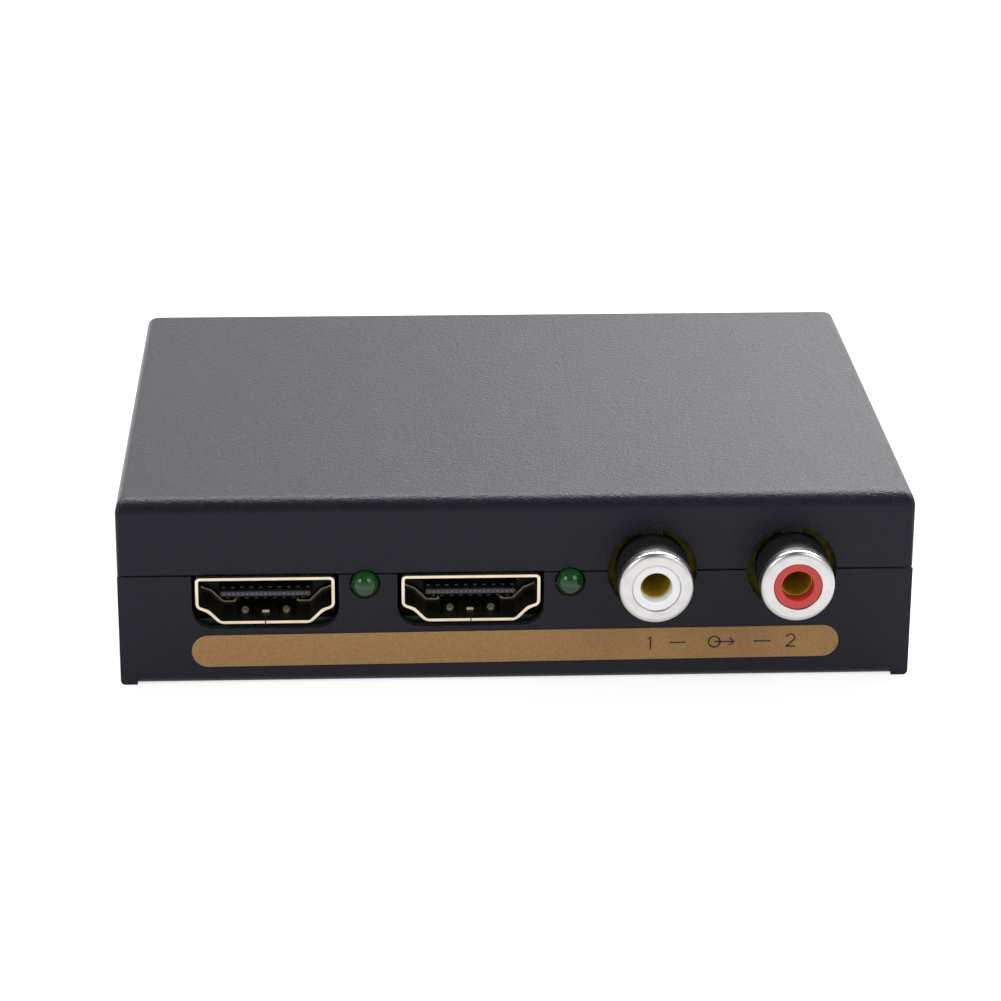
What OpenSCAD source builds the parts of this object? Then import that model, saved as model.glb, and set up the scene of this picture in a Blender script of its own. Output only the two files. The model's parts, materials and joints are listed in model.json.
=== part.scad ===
// Audio extractor for a digital video link: a two-shell steel case with two video sockets,
// two phono jacks and two lamps in front, and an optical outlet, a mode switch and a power
// socket behind. The origin is the centre of the flat underside, +Z is up and -Y is the front.

/* [Case] */
// Outer width of the case
case_w = 85; // [84:0.5:100]
// Outer depth of the case, front panel to rear panel
case_d = 64.5; // [63:0.5:80]
// Outer height of the case
case_h = 21; // [20:0.5:26]
// Thickness of the steel sheet
sheet = 1; // [0.8:0.1:1.1]
// Gap that shows between the two shells
seam_gap = 0.15; // [0.1:0.05:0.25]
// Outside radius of the bends of the cover
cover_bend_r = 1.35; // [1.2:0.05:2]
// Outside radius of the bends under the lower case
case_bend_r = 1.05; // [0.9:0.05:1.5]
// Width of the square ear at each end of the front and rear panels
ear_w = 1.8; // [1.2:0.1:3]

/* [Labels] */
// Length of the stripe on the front and rear panels
label_l = 69.6; // [60:0.2:76]
// Height of the stripe, as a share of the height of the panel under the sockets
label_h_share = 0.566; // [0.45:0.01:0.6]
// Thickness of the stripe
label_t = 0.12; // [0.08:0.01:0.25]
// Height of the stripe's middle, as a share of the height of the panel under the sockets
label_z_share = 0.625; // [0.55:0.01:0.65]
// Angle by which the front stripe was stuck on askew, in degrees
label_tilt = 0.3; // [0:0.1:0.5]

/* [Video sockets] */
// Outer width of the socket shell
hdmi_w = 14.84; // [14:0.02:15.2]
// Outer height of the socket shell
hdmi_h = 5.32; // [5.2:0.02:5.6]
// Depth of the socket shell
hdmi_d = 11.5; // [10.5:0.1:13]
// Wall of the socket shell
hdmi_wall = 0.36; // [0.3:0.02:0.45]
// How far the socket stands out of the front panel
hdmi_proud = 0.5; // [0.2:0.1:1]
// Width of the contact tongue
tongue_w = 10; // [9.6:0.1:10.4]
// Thickness of the contact tongue
tongue_t = 1.1; // [0.9:0.1:1.3]
// Distance of the tongue's tip behind the socket's rim
tongue_recess = 2; // [1.5:0.1:3]
// Width of the cut-out in the panel round each socket
hdmi_window_w = 15.7; // [15.4:0.1:16]
// Gap below the socket shell in its cut-out
hdmi_window_gap = 0.74; // [0.5:0.02:0.9]
// Radius of the lower corners of the cut-out
hdmi_window_r = 2.2; // [1.5:0.1:2.6]

/* [Lamps] */
// Diameter of the lamp lens
led_d = 2.9; // [2.6:0.05:3]
// Diameter of the lamp's flange
led_flange_d = 3.7; // [3.4:0.1:4]
// Length of the lens from the panel's face to its back
led_l = 3.4; // [3:0.1:4.5]
// Height of the lamp's axis above the board
led_rise = 4.42; // [4:0.02:4.8]
// Diameter of the lamp's hole in the panel
led_hole_d = 3.3; // [3.25:0.05:3.6]
// How far the hole's centre lies under the lamp's axis
led_sag = 0.08; // [0:0.02:0.12]

/* [Phono jacks] */
// Height of the jack's axis above the board
jack_rise = 5.5; // [5.3:0.1:5.8]
// Distance from the panel's face to the front of the jack
jack_reach = 5.1; // [4.5:0.1:8]
// Outer diameter of the metal ring
jack_ring_d = 8; // [7.8:0.05:8.4]
// Length of the metal ring
jack_ring_l = 1.5; // [1.2:0.1:2.5]
// Outer diameter of the moulded snout behind the ring
jack_snout_d = 7.65; // [7.4:0.05:7.7]
// Diameter of the hole in the panel round a jack
jack_hole_d = 9.6; // [9.2:0.1:9.8]
// Diameter of the coloured insulator
jack_insulator_d = 5.05; // [4.8:0.05:5.4]
// Diameter of the hole for the plug's pin
pin_hole_d = 3.35; // [3.25:0.05:3.5]
// Inner diameter of the brass socket behind that hole
pin_socket_d = 3.25; // [3.2:0.01:3.3]
// Width and height of the moulded block behind the panel
jack_block_w = 10.4; // [10.2:0.1:10.6]
// Depth of the moulded block
jack_block_d = 10; // [8:0.5:11]

/* [Optical outlet] */
// Outer width of the housing
optical_w = 10.4; // [10.2:0.1:12]
// Outer height of the housing
optical_h = 11; // [10.8:0.1:11.4]
// Outer depth of the housing
optical_d = 13.5; // [13:0.5:16]
// Width of the plug's space
optical_mouth_w = 8.3; // [8.1:0.1:8.4]
// Height of the plug's space
optical_mouth_h = 7.8; // [7.6:0.1:7.9]
// Depth of the plug's space
optical_mouth_d = 9; // [8.8:0.1:9.5]
// Thickness of the shutter
shutter_t = 0.7; // [0.5:0.1:0.8]
// Diameter of the shutter's pin
shutter_pin_d = 0.8; // [0.6:0.05:0.9]

/* [Power socket] */
// Width of the power socket's body
power_w = 9; // [8.5:0.1:10]
// Height of the power socket's body
power_h = 11; // [10.5:0.1:11.5]
// Depth of the power socket's body
power_d = 14; // [12:0.5:15]
// Height of the power socket's axis above the board
power_rise = 6.5; // [6:0.1:6.8]
// Diameter of the plug's space
power_bore_d = 6.4; // [6.2:0.1:6.5]
// Depth of the plug's space
power_bore_l = 9.5; // [8.5:0.1:10]
// Diameter of the centre pin
power_pin_d = 2; // [1.9:0.05:2.1]
// Diameter of the snout in the rear panel
power_snout_d = 7.7; // [7.5:0.1:8]

/* [Mode switch] */
// Width of the switch
switch_w = 10; // [9.6:0.1:12]
// Height of the switch
switch_h = 4; // [3.8:0.1:4.4]
// Depth of the switch
switch_d = 4.6; // [4.4:0.1:6]
// Travel from the middle position to each end
switch_travel = 2; // [1.5:0.1:2.2]
// Width and height of the knob
knob_w = 1.8; // [1.5:0.1:2]
// How far the knob stands out of the rear panel
knob_proud = 2; // [1:0.1:3]

/* [Board] */
// Room between the tallest socket and the inside of the cover
headroom = 2; // [1.5:0.1:2.5]
// Outer diameter of the spacers
standoff_d = 5; // [4.6:0.1:5.2]
// Thickness of the board
board_t = 1.6; // [1.5:0.1:1.7]
// Gap between the board and the side panels
board_side_gap = 1.5; // [1.3:0.1:2]
// Gap between the board and the front and rear panels
board_end_gap = 0.5; // [0.4:0.1:0.6]
// Distance from the board's side edge to a screw's axis
screw_inset = 2.6; // [2.5:0.05:2.8]
// Gap between the head of a board screw and the sockets in front of it or behind it
screw_gap = 1; // [0.6:0.1:2]
// Diameter of the board screws
board_screw_d = 2.5; // [2.3:0.1:2.6]
// Diameter of the head of the board screws
board_screw_head_d = 4.5; // [4.2:0.1:4.6]

/* [Cover screws] */
// Diameter of the countersunk cover screws
cover_screw_d = 2; // [1.8:0.1:2.2]
// Diameter of the head of the cover screws
cover_screw_head_d = 3.6; // [3.4:0.1:3.7]
// Length of the cover screws
cover_screw_l = 3.6; // [3:0.1:4]
// Distance from the middle to each cover screw, along the side
cover_screw_y = 12; // [8:0.5:13]
// Length of the bracket that joins the shells
bracket_l = 32; // [30:1:36]
// Thickness of the bracket
bracket_t = 1; // [0.8:0.1:1]

/* [Hidden] */

// Smoothness of true round shapes, and steps in each drawn arc
$fn = 64;
arc_steps = 6;
// Overrun of every cut, and the small gaps between pieces
over = 1;
fit = 0.05;
hole_fit = 0.15;

// Levels and faces that everything follows
front_y = -case_d / 2;
rear_y = case_d / 2;
front_in_y = front_y + sheet;
rear_in_y = rear_y - sheet;
side_in_x = case_w / 2 - sheet;
corner_r = 0.5;

// The spacers are as high as the tallest socket allows, and the shells meet at the jacks' axes
standoff_h = case_h - 2 * sheet - board_t - max(optical_h, power_h, jack_block_w) - headroom;
board_low = sheet + standoff_h;
board_top = board_low + board_t;
seam_z = board_top + jack_rise;
lower_top = seam_z - seam_gap / 2;
cover_low = seam_z + seam_gap / 2;

// The row of front pieces and the row of rear ones: what the case's width leaves free is shared
// out as the gaps before, between and after them
function sum_to(v, n) = n < 0 ? 0 : v[n] + sum_to(v, n - 1);
function row_places(widths, shares) = let (free = case_w - sum_to(widths, len(widths) - 1))
  [for (i = [0:len(widths) - 1])
    -case_w / 2 + free * sum_to(shares, i) + sum_to(widths, i - 1) + widths[i] / 2];
front_gap_shares = [0.3038, 0.0498, 0.0752, 0.0498, 0.0642, 0.1696, 0.2876];
front_xs = row_places([hdmi_w, led_flange_d, hdmi_w, led_flange_d, jack_block_w, jack_block_w],
  front_gap_shares);
rear_gap_shares = [0.2752, 0.2482, 0.2428, 0.2338];
rear_xs = row_places([optical_w, switch_w, power_w], rear_gap_shares);
hdmi_xs = [front_xs[0], front_xs[2]];
led_xs = [front_xs[1], front_xs[3]];
jack_xs = [front_xs[4], front_xs[5]];
optical_x = rear_xs[0];
switch_x = rear_xs[1];
power_x = rear_xs[2];
board_w = 2 * (side_in_x - board_side_gap);
board_front = front_in_y + board_end_gap;
board_rear = rear_in_y - board_end_gap;
board_d = board_rear - board_front;
board_mid_y = (board_front + board_rear) / 2;
lead_drop_share = 0.23;
lead_drop = standoff_h * lead_drop_share;
board_screw_head_h = 1.5;

// Cover screws sit midway up the cover's side, over the bracket
bracket_lap_low = 3.6;
bracket_lap_high = 4.4;
bracket_low = lower_top - bracket_lap_low;
bracket_top = cover_low + bracket_lap_high;
cover_screw_z = (cover_low + bracket_top) / 2;
cover_screw_head_h = (cover_screw_head_d - cover_screw_d) / 2;

// Video sockets: the shell stands on four legs, a little above the board
hdmi_lift = 0.14;
hdmi_low = board_top + hdmi_lift;
hdmi_front = front_y - hdmi_proud;
hdmi_rear = hdmi_front + hdmi_d;
hdmi_side_share = 0.34;
hdmi_shoulder_shares = [0.835, 0.255];
hdmi_floor_share = 0.655;
hdmi_ease = 0.6;
hdmi_top_fit = 0.1;
hdmi_leg_l = 1.2;
hdmi_leg_front = 1.6;
hdmi_leg_rear = 2.8;
hdmi_leg_ys = [front_in_y + hdmi_leg_front, hdmi_rear - hdmi_leg_rear];
block_d = 5.3;
block_front = hdmi_rear - block_d;
tongue_z = hdmi_low + hdmi_h / 2;
tongue_tip = hdmi_front + tongue_recess;
tongue_chamfer = 0.22;
contact_pitch = 1;
contact_w = 0.36;
contact_t = 0.12;
contact_setback = 0.35;
contact_foot_l = 0.9;
contact_tail_gap = 0.3;
upper_contacts = 10;
lower_contacts = 9;
spring_x = 2.2;
spring_w = 1.3;
spring_l = 4.5;
spring_slot = 0.3;
spring_start = 1.4;
dimple_d = 0.9;
dimple_h = 0.15;
dimple_y = 2.25;
notch_w = 0.12;
notch_l = 0.6;

// The stripe lies in the band of the panel under the sockets
band_h = hdmi_low - hdmi_window_gap;
label_h = band_h * label_h_share;
label_z = band_h * label_z_share;

// Lamps
led_z = board_top + led_rise;
led_flange_t = 0.8;
lead_w = 0.5;
lead_pitch = 2.54;
lead_run = 2;
lead_hole_d = 1;

// Phono jacks
jack_z = board_top + jack_rise;
jack_front = front_y - jack_reach;
ground_t = 0.4;
ground_gap = 0.2;
ground_front = front_in_y + ground_gap;
block_face = ground_front + ground_t;
jack_block_rear = block_face + jack_block_d;
jack_block_top = jack_z + jack_block_w / 2;
ground_lap = 0.15;
ground_outer_d = jack_hole_d + 2 * ground_lap;
ground_inner_d = jack_snout_d + 2 * hole_fit;
rib_w = 2.35;
ring_seat_d = 6.6;
ring_roll = 0.6;
insulator_setback = 0.25;
insulator_l = 7;
pin_hole_l = 1.6;
socket_outer_d = 4.1;
strap_w = 2.6;
strap_l = 3;
strap_t = 0.4;
tail_w = 1.2;
tail_t = 0.4;

// Optical outlet: the shutter hangs from a pin across the top of the mouth and swings inward
optical_rear = rear_y;
optical_front = optical_rear - optical_d;
optical_low = board_top;
optical_floor_t = 1.1;
optical_floor = optical_low + optical_floor_t;
optical_mouth_top = optical_floor + optical_mouth_h;
shutter_pocket_h = 1.2;
shutter_gap = 0.25;
shutter_axis_y = optical_rear - shutter_gap - shutter_t / 2;
shutter_knuckle_d = 1.5;
shutter_pocket_fit = 0.1;
shutter_axis_z = optical_mouth_top + shutter_pocket_h - shutter_knuckle_d / 2 - shutter_pocket_fit;
shutter_low = optical_floor + shutter_gap;
shutter_w = optical_mouth_w - 2 * shutter_gap;
knuckle_share = 0.55;
shutter_knuckle_l = shutter_w * knuckle_share;
spring_coil_d = 1.4;
spring_bore_d = shutter_pin_d + 2 * fit;
spring_coil_l = 1;
emitter_d = 3;
emitter_z = (optical_floor + optical_mouth_top) / 2;
optical_lead_pitch = 2.54;
optical_leads_n = 3;
optical_window_gap = 0.2;

// Power socket
panel_gap = 0.2;
power_rear = rear_y - panel_gap;
power_block_rear = rear_in_y - panel_gap;
power_front = power_rear - power_d;
power_z = board_top + power_rise;
power_hole_d = power_snout_d + 2 * panel_gap;
power_pin_tip = 0.6;
leaf_w = 2;
leaf_t = 0.4;
leaf_l = 6;

// Board screws stand clear behind the front sockets and in front of the rear ones
board_screw_room = board_screw_head_d / 2 + screw_gap;
board_screw_places = [for (sx = [-1, 1],
  y = [max(hdmi_rear, jack_block_rear) + board_screw_room,
    min(optical_front, power_front) - board_screw_room])
  [sx * (board_w / 2 - screw_inset), y]];

// Mode switch
switch_rear = rear_in_y - panel_gap;
switch_front = switch_rear - switch_d;
switch_z = board_top + switch_h / 2;
switch_plate = 0.4;
switch_gap = 0.1;
carriage_w = 4.4;
carriage_h = switch_h - 2 * switch_plate - 2 * switch_gap;
carriage_d = 1.6;
carriage_rear = switch_rear - switch_plate - switch_gap;
base_d = switch_d - switch_plate - 2 * switch_gap - carriage_d;
slot_w = knob_w + 2 * switch_travel + 2 * hole_fit;
slot_h = knob_w + 2 * hole_fit;
terminal_w = 0.6;
terminal_t = 0.3;
terminals_n = 4;
terminal_pitch = 2;

// Parts on the board: each place is a share of the board's half width and half depth
chip_size = 12;
chip_h = 1.4;
chip_legs_n = 14;
chip_lift = 0.1;
leg_l = 0.9;
receiver_shares = [-0.36, -0.02];
audio_chip_size = [9.9, 3.9];
audio_chip_h = 1.5;
audio_legs_n = 8;
audio_shares = [0.36, -0.26];
regulator_size = [6.5, 3.5];
regulator_h = 1.6;
regulator_legs_n = 3;
regulator_shares = [0.34, 0.3];
crystal_size = [11, 4.6];
crystal_h = 3.6;
crystal_base_t = 0.4;
crystal_shares = [-0.02, 0.32];
inductor_size = 6;
inductor_h = 3;
inductor_shares = [0.8, 0.2];
can_d = 5;
can_h = 5.3;
can_base = 5.3;
can_base_t = 0.8;
can_groove = 0.3;
can_shares = [[0.3, 0.02], [0.52, 0.02], [0.74, -0.24]];
chip_part = [2, 1.2, 0.9];
capacitor_shares = [[-0.76, -0.22], [-0.76, 0.02], [-0.66, 0.3], [-0.06, -0.28], [0.08, 0.02]];
resistor_part = [1.6, 0.9, 0.5];
resistor_shares = [[-0.57, 0.34], [-0.06, -0.03], [0.54, 0.26], [0.1, -0.3], [0.64, -0.03]];
small_n = 3;
small_pitch = 2.6;

sheet_black = [0.13, 0.13, 0.14];
gold_stripe = [0.59, 0.46, 0.29];
plated = [0.85, 0.76, 0.52];
steel = [0.72, 0.72, 0.74];
moulded = [0.06, 0.06, 0.06];
brass = [0.78, 0.62, 0.25];

// Points of an arc about c, from angle a0 to a1
function arc(c, r, a0, a1) =
  [for (i = [0:arc_steps]) let (a = a0 + (a1 - a0) * i / arc_steps) c + r * [cos(a), sin(a)]];

// Points of a rectangle centred on zero with every corner rounded
function rounded_rect(w, h, r) = concat(
  arc([w / 2 - r, h / 2 - r], r, 0, 90), arc([r - w / 2, h / 2 - r], r, 90, 180),
  arc([r - w / 2, r - h / 2], r, 180, 270), arc([w / 2 - r, r - h / 2], r, 270, 360));

// Points of an upright wall section with round upper corners, from z0 to z1
function arched(w, z0, z1, r) = concat(
  [[w / 2, z0]], arc([w / 2 - r, z1 - r], r, 0, 90), arc([r - w / 2, z1 - r], r, 90, 180), [[-w / 2, z0]]);

// The points moved inward by d along the bisector of each corner, for points that run clockwise
function unit(v) = v / norm(v);
function left_of(v) = [-v[1], v[0]];
function inset(p, d) = [for (i = [0:len(p) - 1]) let (
  a = left_of(unit(p[i] - p[(i + len(p) - 1) % len(p)])),
  b = left_of(unit(p[(i + 1) % len(p)] - p[i])))
  p[i] - d * (a + b) / (1 + a * b)];

// Each corner of the points eased into a curve that starts and ends `cut` from it
function eased(p, cut) = [for (i = [0:len(p) - 1]) let (
  q0 = p[i] + cut * unit(p[(i + len(p) - 1) % len(p)] - p[i]),
  q1 = p[i] + cut * unit(p[(i + 1) % len(p)] - p[i]))
  for (s = [0:1 / arc_steps:1]) (1 - s) * (1 - s) * q0 + 2 * s * (1 - s) * p[i] + s * s * q1];

// Cross-section of the video socket, clockwise from its lower left, floor at zero
hdmi_points = let (w = hdmi_w / 2, h = hdmi_h, side = hdmi_side_share, sh = hdmi_shoulder_shares)
  [[-w * hdmi_floor_share, 0], [-w * sh[0], h * sh[1]], [-w, h * side], [-w, h],
   [w, h], [w, h * side], [w * sh[0], h * sh[1]], [w * hdmi_floor_share, 0]];

// A flat outline in X and Z, drawn out along +Y from y0
module along_y(y0, l) {
  translate([0, y0 + l, 0]) rotate([90, 0, 0]) linear_extrude(l) children();
}

// A flat outline in Y and Z, drawn out along +X from x0
module along_x(x0, l) {
  translate([x0, 0, 0]) rotate([90, 0, 90]) linear_extrude(l) children();
}

module rod_y(x, z, y0, l, d, d2 = undef) {
  translate([x, y0 + l, z]) rotate([90, 0, 0]) cylinder(h = l, d1 = is_undef(d2) ? d : d2, d2 = d);
}

// A block given by its lowest and highest corners
module block(low, high) {
  translate(low) cube(high - low);
}

// The window round each video socket, through the front panel
module socket_windows() {
  low = hdmi_low - hdmi_window_gap;
  high = hdmi_low + hdmi_h + hdmi_top_fit;
  for (x = hdmi_xs)
    translate([x, 0, 0]) along_y(front_y - over, sheet + 2 * over)
      polygon(concat([[hdmi_window_w / 2, high]], [[-hdmi_window_w / 2, high]],
        arc([hdmi_window_r - hdmi_window_w / 2, low + hdmi_window_r], hdmi_window_r, 180, 270),
        arc([hdmi_window_w / 2 - hdmi_window_r, low + hdmi_window_r], hdmi_window_r, 270, 360)));
}

// Everything that is cut through the front and rear panels, in both shells
module panel_cuts() {
  socket_windows();
  for (x = led_xs) rod_y(x, led_z - led_sag, front_y - over, sheet + 2 * over, led_hole_d);
  for (x = jack_xs) rod_y(x, jack_z, front_y - over, sheet + 2 * over, jack_hole_d);
  rod_y(power_x, power_z, rear_in_y - over, sheet + 2 * over, power_hole_d);
  block([optical_x - optical_w / 2 - optical_window_gap, rear_in_y - over, optical_low - optical_window_gap],
    [optical_x + optical_w / 2 + optical_window_gap, rear_y + over,
      optical_low + optical_h + optical_window_gap]);
  block([switch_x - slot_w / 2, rear_in_y - over, switch_z - slot_h / 2],
    [switch_x + slot_w / 2, rear_y + over, switch_z + slot_h / 2]);
}

// The outside of a bend: what a round edge of radius r leaves of a square one at the origin
module bend_waste(r) {
  difference() {
    translate([-over, -over]) square(r + over);
    polygon(concat([[r + over, r + over]], arc([r, r], r, 180, 270), [[r + over, 0]]));
    translate([0, r]) square([r + over, over]);
  }
}

module bottom_case() {
  color(sheet_black) difference() {
    along_x(-case_w / 2, case_w)
      polygon([[front_y, 0], [rear_y, 0], [rear_y, lower_top], [front_y, lower_top]]);
    block([-side_in_x, front_in_y, sheet], [side_in_x, rear_in_y, lower_top + over]);
    // round bends below, short of the square ears in front and behind
    for (s = [0, 1]) mirror([0, s, 0])
      along_x(ear_w - case_w / 2, case_w - 2 * ear_w)
        translate([front_y, 0]) bend_waste(case_bend_r);
    for (s = [0, 1]) mirror([s, 0, 0])
      along_y(front_in_y, case_d - 2 * sheet)
        translate([-case_w / 2, 0]) bend_waste(case_bend_r);
    // the outer corners of the ears are eased
    for (s = [0, 1]) mirror([s, 0, 0])
      along_y(front_y - over, case_d + 2 * over)
        translate([-case_w / 2, 0]) bend_waste(corner_r);
    panel_cuts();
  }
}

module top_cover() {
  inner_r = cover_bend_r - sheet;
  color(sheet_black) difference() {
    intersection() {
      along_y(front_y, case_d) polygon(arched(case_w, cover_low, case_h, cover_bend_r));
      along_x(-case_w / 2, case_w) polygon(arched(case_d, cover_low, case_h, cover_bend_r));
      translate([0, 0, cover_low]) linear_extrude(case_h) polygon(rounded_rect(case_w, case_d, corner_r));
    }
    intersection() {
      along_y(front_in_y, case_d - 2 * sheet)
        polygon(arched(2 * side_in_x, cover_low - over, case_h - sheet, inner_r));
      along_x(-side_in_x, 2 * side_in_x)
        polygon(arched(case_d - 2 * sheet, cover_low - over, case_h - sheet, inner_r));
    }
    panel_cuts();
    for (s = [0, 1], y = [-cover_screw_y, cover_screw_y]) mirror([s, 0, 0])
      translate([case_w / 2, y, cover_screw_z]) rotate([0, -90, 0]) {
        translate([0, 0, -over]) cylinder(h = sheet + 2 * over, d = cover_screw_d + 2 * hole_fit);
        translate([0, 0, -fit])
          cylinder(h = cover_screw_head_h + hole_fit, d1 = cover_screw_head_d + 2 * hole_fit + fit,
            d2 = cover_screw_d + 2 * hole_fit);
      }
  }
}

// Two strips inside the side panels: they are part of neither shell and join both
module side_brackets() {
  color(steel) for (s = [0, 1]) mirror([s, 0, 0]) difference() {
    block([side_in_x - bracket_t, -bracket_l / 2, bracket_low], [side_in_x, bracket_l / 2, bracket_top]);
    for (y = [-cover_screw_y, cover_screw_y])
      translate([side_in_x + over, y, cover_screw_z]) rotate([0, -90, 0])
        cylinder(h = bracket_t + 2 * over, d = cover_screw_d + 2 * fit);
  }
}

// Countersunk screws with a cross recess, flush with the sides of the cover
module cover_screws() {
  recess_w = cover_screw_d / 4;
  recess_d = cover_screw_head_h / 2;
  color(moulded) for (s = [0, 1], y = [-cover_screw_y, cover_screw_y]) mirror([s, 0, 0])
    translate([case_w / 2, y, cover_screw_z]) rotate([0, -90, 0]) difference() {
      union() {
        cylinder(h = cover_screw_head_h, d1 = cover_screw_head_d, d2 = cover_screw_d);
        cylinder(h = cover_screw_l, d = cover_screw_d);
      }
      for (a = [0, 90]) rotate(a)
        translate([-cover_screw_d / 2, -recess_w / 2, -over])
          cube([cover_screw_d, recess_w, recess_d + over]);
    }
}

module stripe(y0, tilt) {
  translate([0, 0, label_z]) rotate([0, -tilt, 0])
    along_y(y0, label_t) polygon(rounded_rect(label_l, label_h, label_h / 2));
}

module front_label() {
  color(gold_stripe) stripe(front_y - label_t, label_tilt);
}

module rear_label() {
  color(gold_stripe) stripe(rear_y, 0);
}

module board_standoffs() {
  color(steel) for (p = board_screw_places) translate([p[0], p[1], sheet]) difference() {
    cylinder(h = standoff_h, d = standoff_d);
    translate([0, 0, -over]) cylinder(h = standoff_h + 2 * over, d = board_screw_d + 2 * fit);
  }
}

module board_screws() {
  shank_l = board_t + standoff_h / 2;
  recess_w = board_screw_d / 4;
  color(steel) for (p = board_screw_places) translate([p[0], p[1], board_top]) difference() {
    union() {
      cylinder(h = board_screw_head_h, d = board_screw_head_d);
      translate([0, 0, -shank_l]) cylinder(h = shank_l, d = board_screw_d);
    }
    for (a = [0, 90]) rotate(a)
      translate([-board_screw_d / 2, -recess_w / 2, board_screw_head_h / 2])
        cube([board_screw_d, recess_w, board_screw_head_h]);
  }
}

// Where tails and legs pass through the board, as [x, y] of each hole's middle
led_lead_y = front_y + led_l + lead_run;
led_lead_places = [for (x = led_xs, s = [-1, 1]) [x + s * lead_pitch / 2, led_lead_y]];
jack_tail_y = jack_block_rear + tail_t / 2;
strap_x = -jack_block_w / 2 - strap_t / 2;
strap_y = block_face + strap_l - tail_w / 2;
switch_terminal_y = switch_front + base_d / 2;
switch_terminal_xs = [for (i = [0:terminals_n - 1]) switch_x + (i - (terminals_n - 1) / 2) * terminal_pitch];
optical_lead_y = optical_front - lead_w / 2;
optical_lead_xs = [for (i = [0:optical_leads_n - 1])
  optical_x + (i - (optical_leads_n - 1) / 2) * optical_lead_pitch];
power_tail_y = power_front - tail_t / 2;
power_leaf_y = power_rear - power_bore_l + leaf_l / 4;

module main_board() {
  drill_h = board_t + 2 * over;
  color("darkgreen") difference() {
    block([-board_w / 2, board_front, board_low], [board_w / 2, board_rear, board_top]);
    translate([0, 0, board_low - over]) {
      for (p = board_screw_places) translate(p) cylinder(h = drill_h, d = board_screw_d + 2 * hole_fit);
      for (p = led_lead_places) translate(p) cylinder(h = drill_h, d = lead_hole_d);
      for (x = optical_lead_xs) translate([x, optical_lead_y]) cylinder(h = drill_h, d = lead_hole_d);
      for (x = switch_terminal_xs) translate([x, switch_terminal_y]) cylinder(h = drill_h, d = lead_hole_d);
      for (x = jack_xs) {
        translate([x, jack_tail_y]) cylinder(h = drill_h, d = tail_w + 2 * hole_fit);
        translate([x + strap_x, strap_y]) cylinder(h = drill_h, d = tail_w + 2 * hole_fit);
      }
      translate([power_x, power_tail_y]) cylinder(h = drill_h, d = tail_w + 2 * hole_fit);
      translate([power_x, power_leaf_y]) cylinder(h = drill_h, d = tail_w + 2 * hole_fit);
    }
    for (x = hdmi_xs, s = [0, 1], y = hdmi_leg_ys) translate([x, 0, 0]) mirror([s, 0, 0])
      block([hdmi_w / 2 - hdmi_wall - hole_fit, y - hole_fit, board_low - over],
        [hdmi_w / 2 + hole_fit, y + hdmi_leg_l + hole_fit, board_top + over]);
  }
}

// Video socket shell: a folded sleeve with two spring fingers in its floor and four legs
module socket_shell(x) {
  color(plated) translate([x, 0, 0]) {
    difference() {
      translate([0, 0, hdmi_low]) along_y(hdmi_front, hdmi_d) polygon(eased(hdmi_points, hdmi_ease));
      translate([0, 0, hdmi_low]) along_y(hdmi_front - over, hdmi_d + 2 * over)
        polygon(eased(inset(hdmi_points, hdmi_wall), hdmi_ease - hdmi_wall));
      for (sx = [-1, 1]) translate([sx * spring_x, hdmi_front + spring_start, hdmi_low - over]) {
        for (side = [-1, 1]) translate([side * (spring_w + spring_slot) / 2 - spring_slot / 2, 0, 0])
          cube([spring_slot, spring_l, hdmi_wall + 2 * over]);
        translate([-spring_w / 2 - spring_slot, 0, 0])
          cube([spring_w + 2 * spring_slot, spring_slot, hdmi_wall + 2 * over]);
      }
      translate([-notch_w / 2, hdmi_front - over, hdmi_low - over])
        cube([notch_w, notch_l + over, hdmi_wall + 2 * over]);
    }
    for (sx = [-1, 1]) translate([sx * spring_x, hdmi_front + dimple_y, hdmi_low + hdmi_wall - fit])
      cylinder(h = dimple_h + fit, d1 = dimple_d, d2 = dimple_d / 2);
    for (s = [0, 1], y = hdmi_leg_ys) mirror([s, 0, 0])
      block([hdmi_w / 2 - hdmi_wall, y, board_low - lead_drop],
        [hdmi_w / 2, y + hdmi_leg_l, hdmi_low + hdmi_h / 2]);
  }
}

// Contact strips over and under the tongue: each runs back through the block and down to the board
module contact_strip(x, upper) {
  z = upper ? tongue_z + tongue_t / 2 : tongue_z - tongue_t / 2 - contact_t;
  y_tail = hdmi_rear + (upper ? contact_t + contact_tail_gap : 0);
  w = contact_w / 2;
  block([x - w, tongue_tip + contact_setback, z], [x + w, y_tail + contact_t, z + contact_t]);
  block([x - w, y_tail, board_top], [x + w, y_tail + contact_t, z + contact_t]);
  block([x - w, y_tail, board_top], [x + w, y_tail + contact_foot_l, board_top + contact_t]);
}

module contact_row() {
  for (i = [0:upper_contacts - 1]) contact_strip((i - (upper_contacts - 1) / 2) * contact_pitch, true);
  for (i = [0:lower_contacts - 1]) contact_strip((i - (lower_contacts - 1) / 2) * contact_pitch, false);
}

module socket_insulator(x) {
  c = tongue_chamfer;
  t = tongue_t / 2;
  color(moulded) translate([x, 0, 0]) difference() {
    union() {
      translate([0, 0, hdmi_low]) along_y(block_front, block_d)
        polygon(eased(inset(hdmi_points, hdmi_wall + fit), hdmi_ease - hdmi_wall));
      translate([0, 0, tongue_z]) along_x(-tongue_w / 2, tongue_w)
        polygon([[tongue_tip, -t + c], [tongue_tip, t - c], [tongue_tip + c, t], [block_front + over, t],
          [block_front + over, -t], [tongue_tip + c, -t]]);
    }
    contact_row();
  }
}

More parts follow.
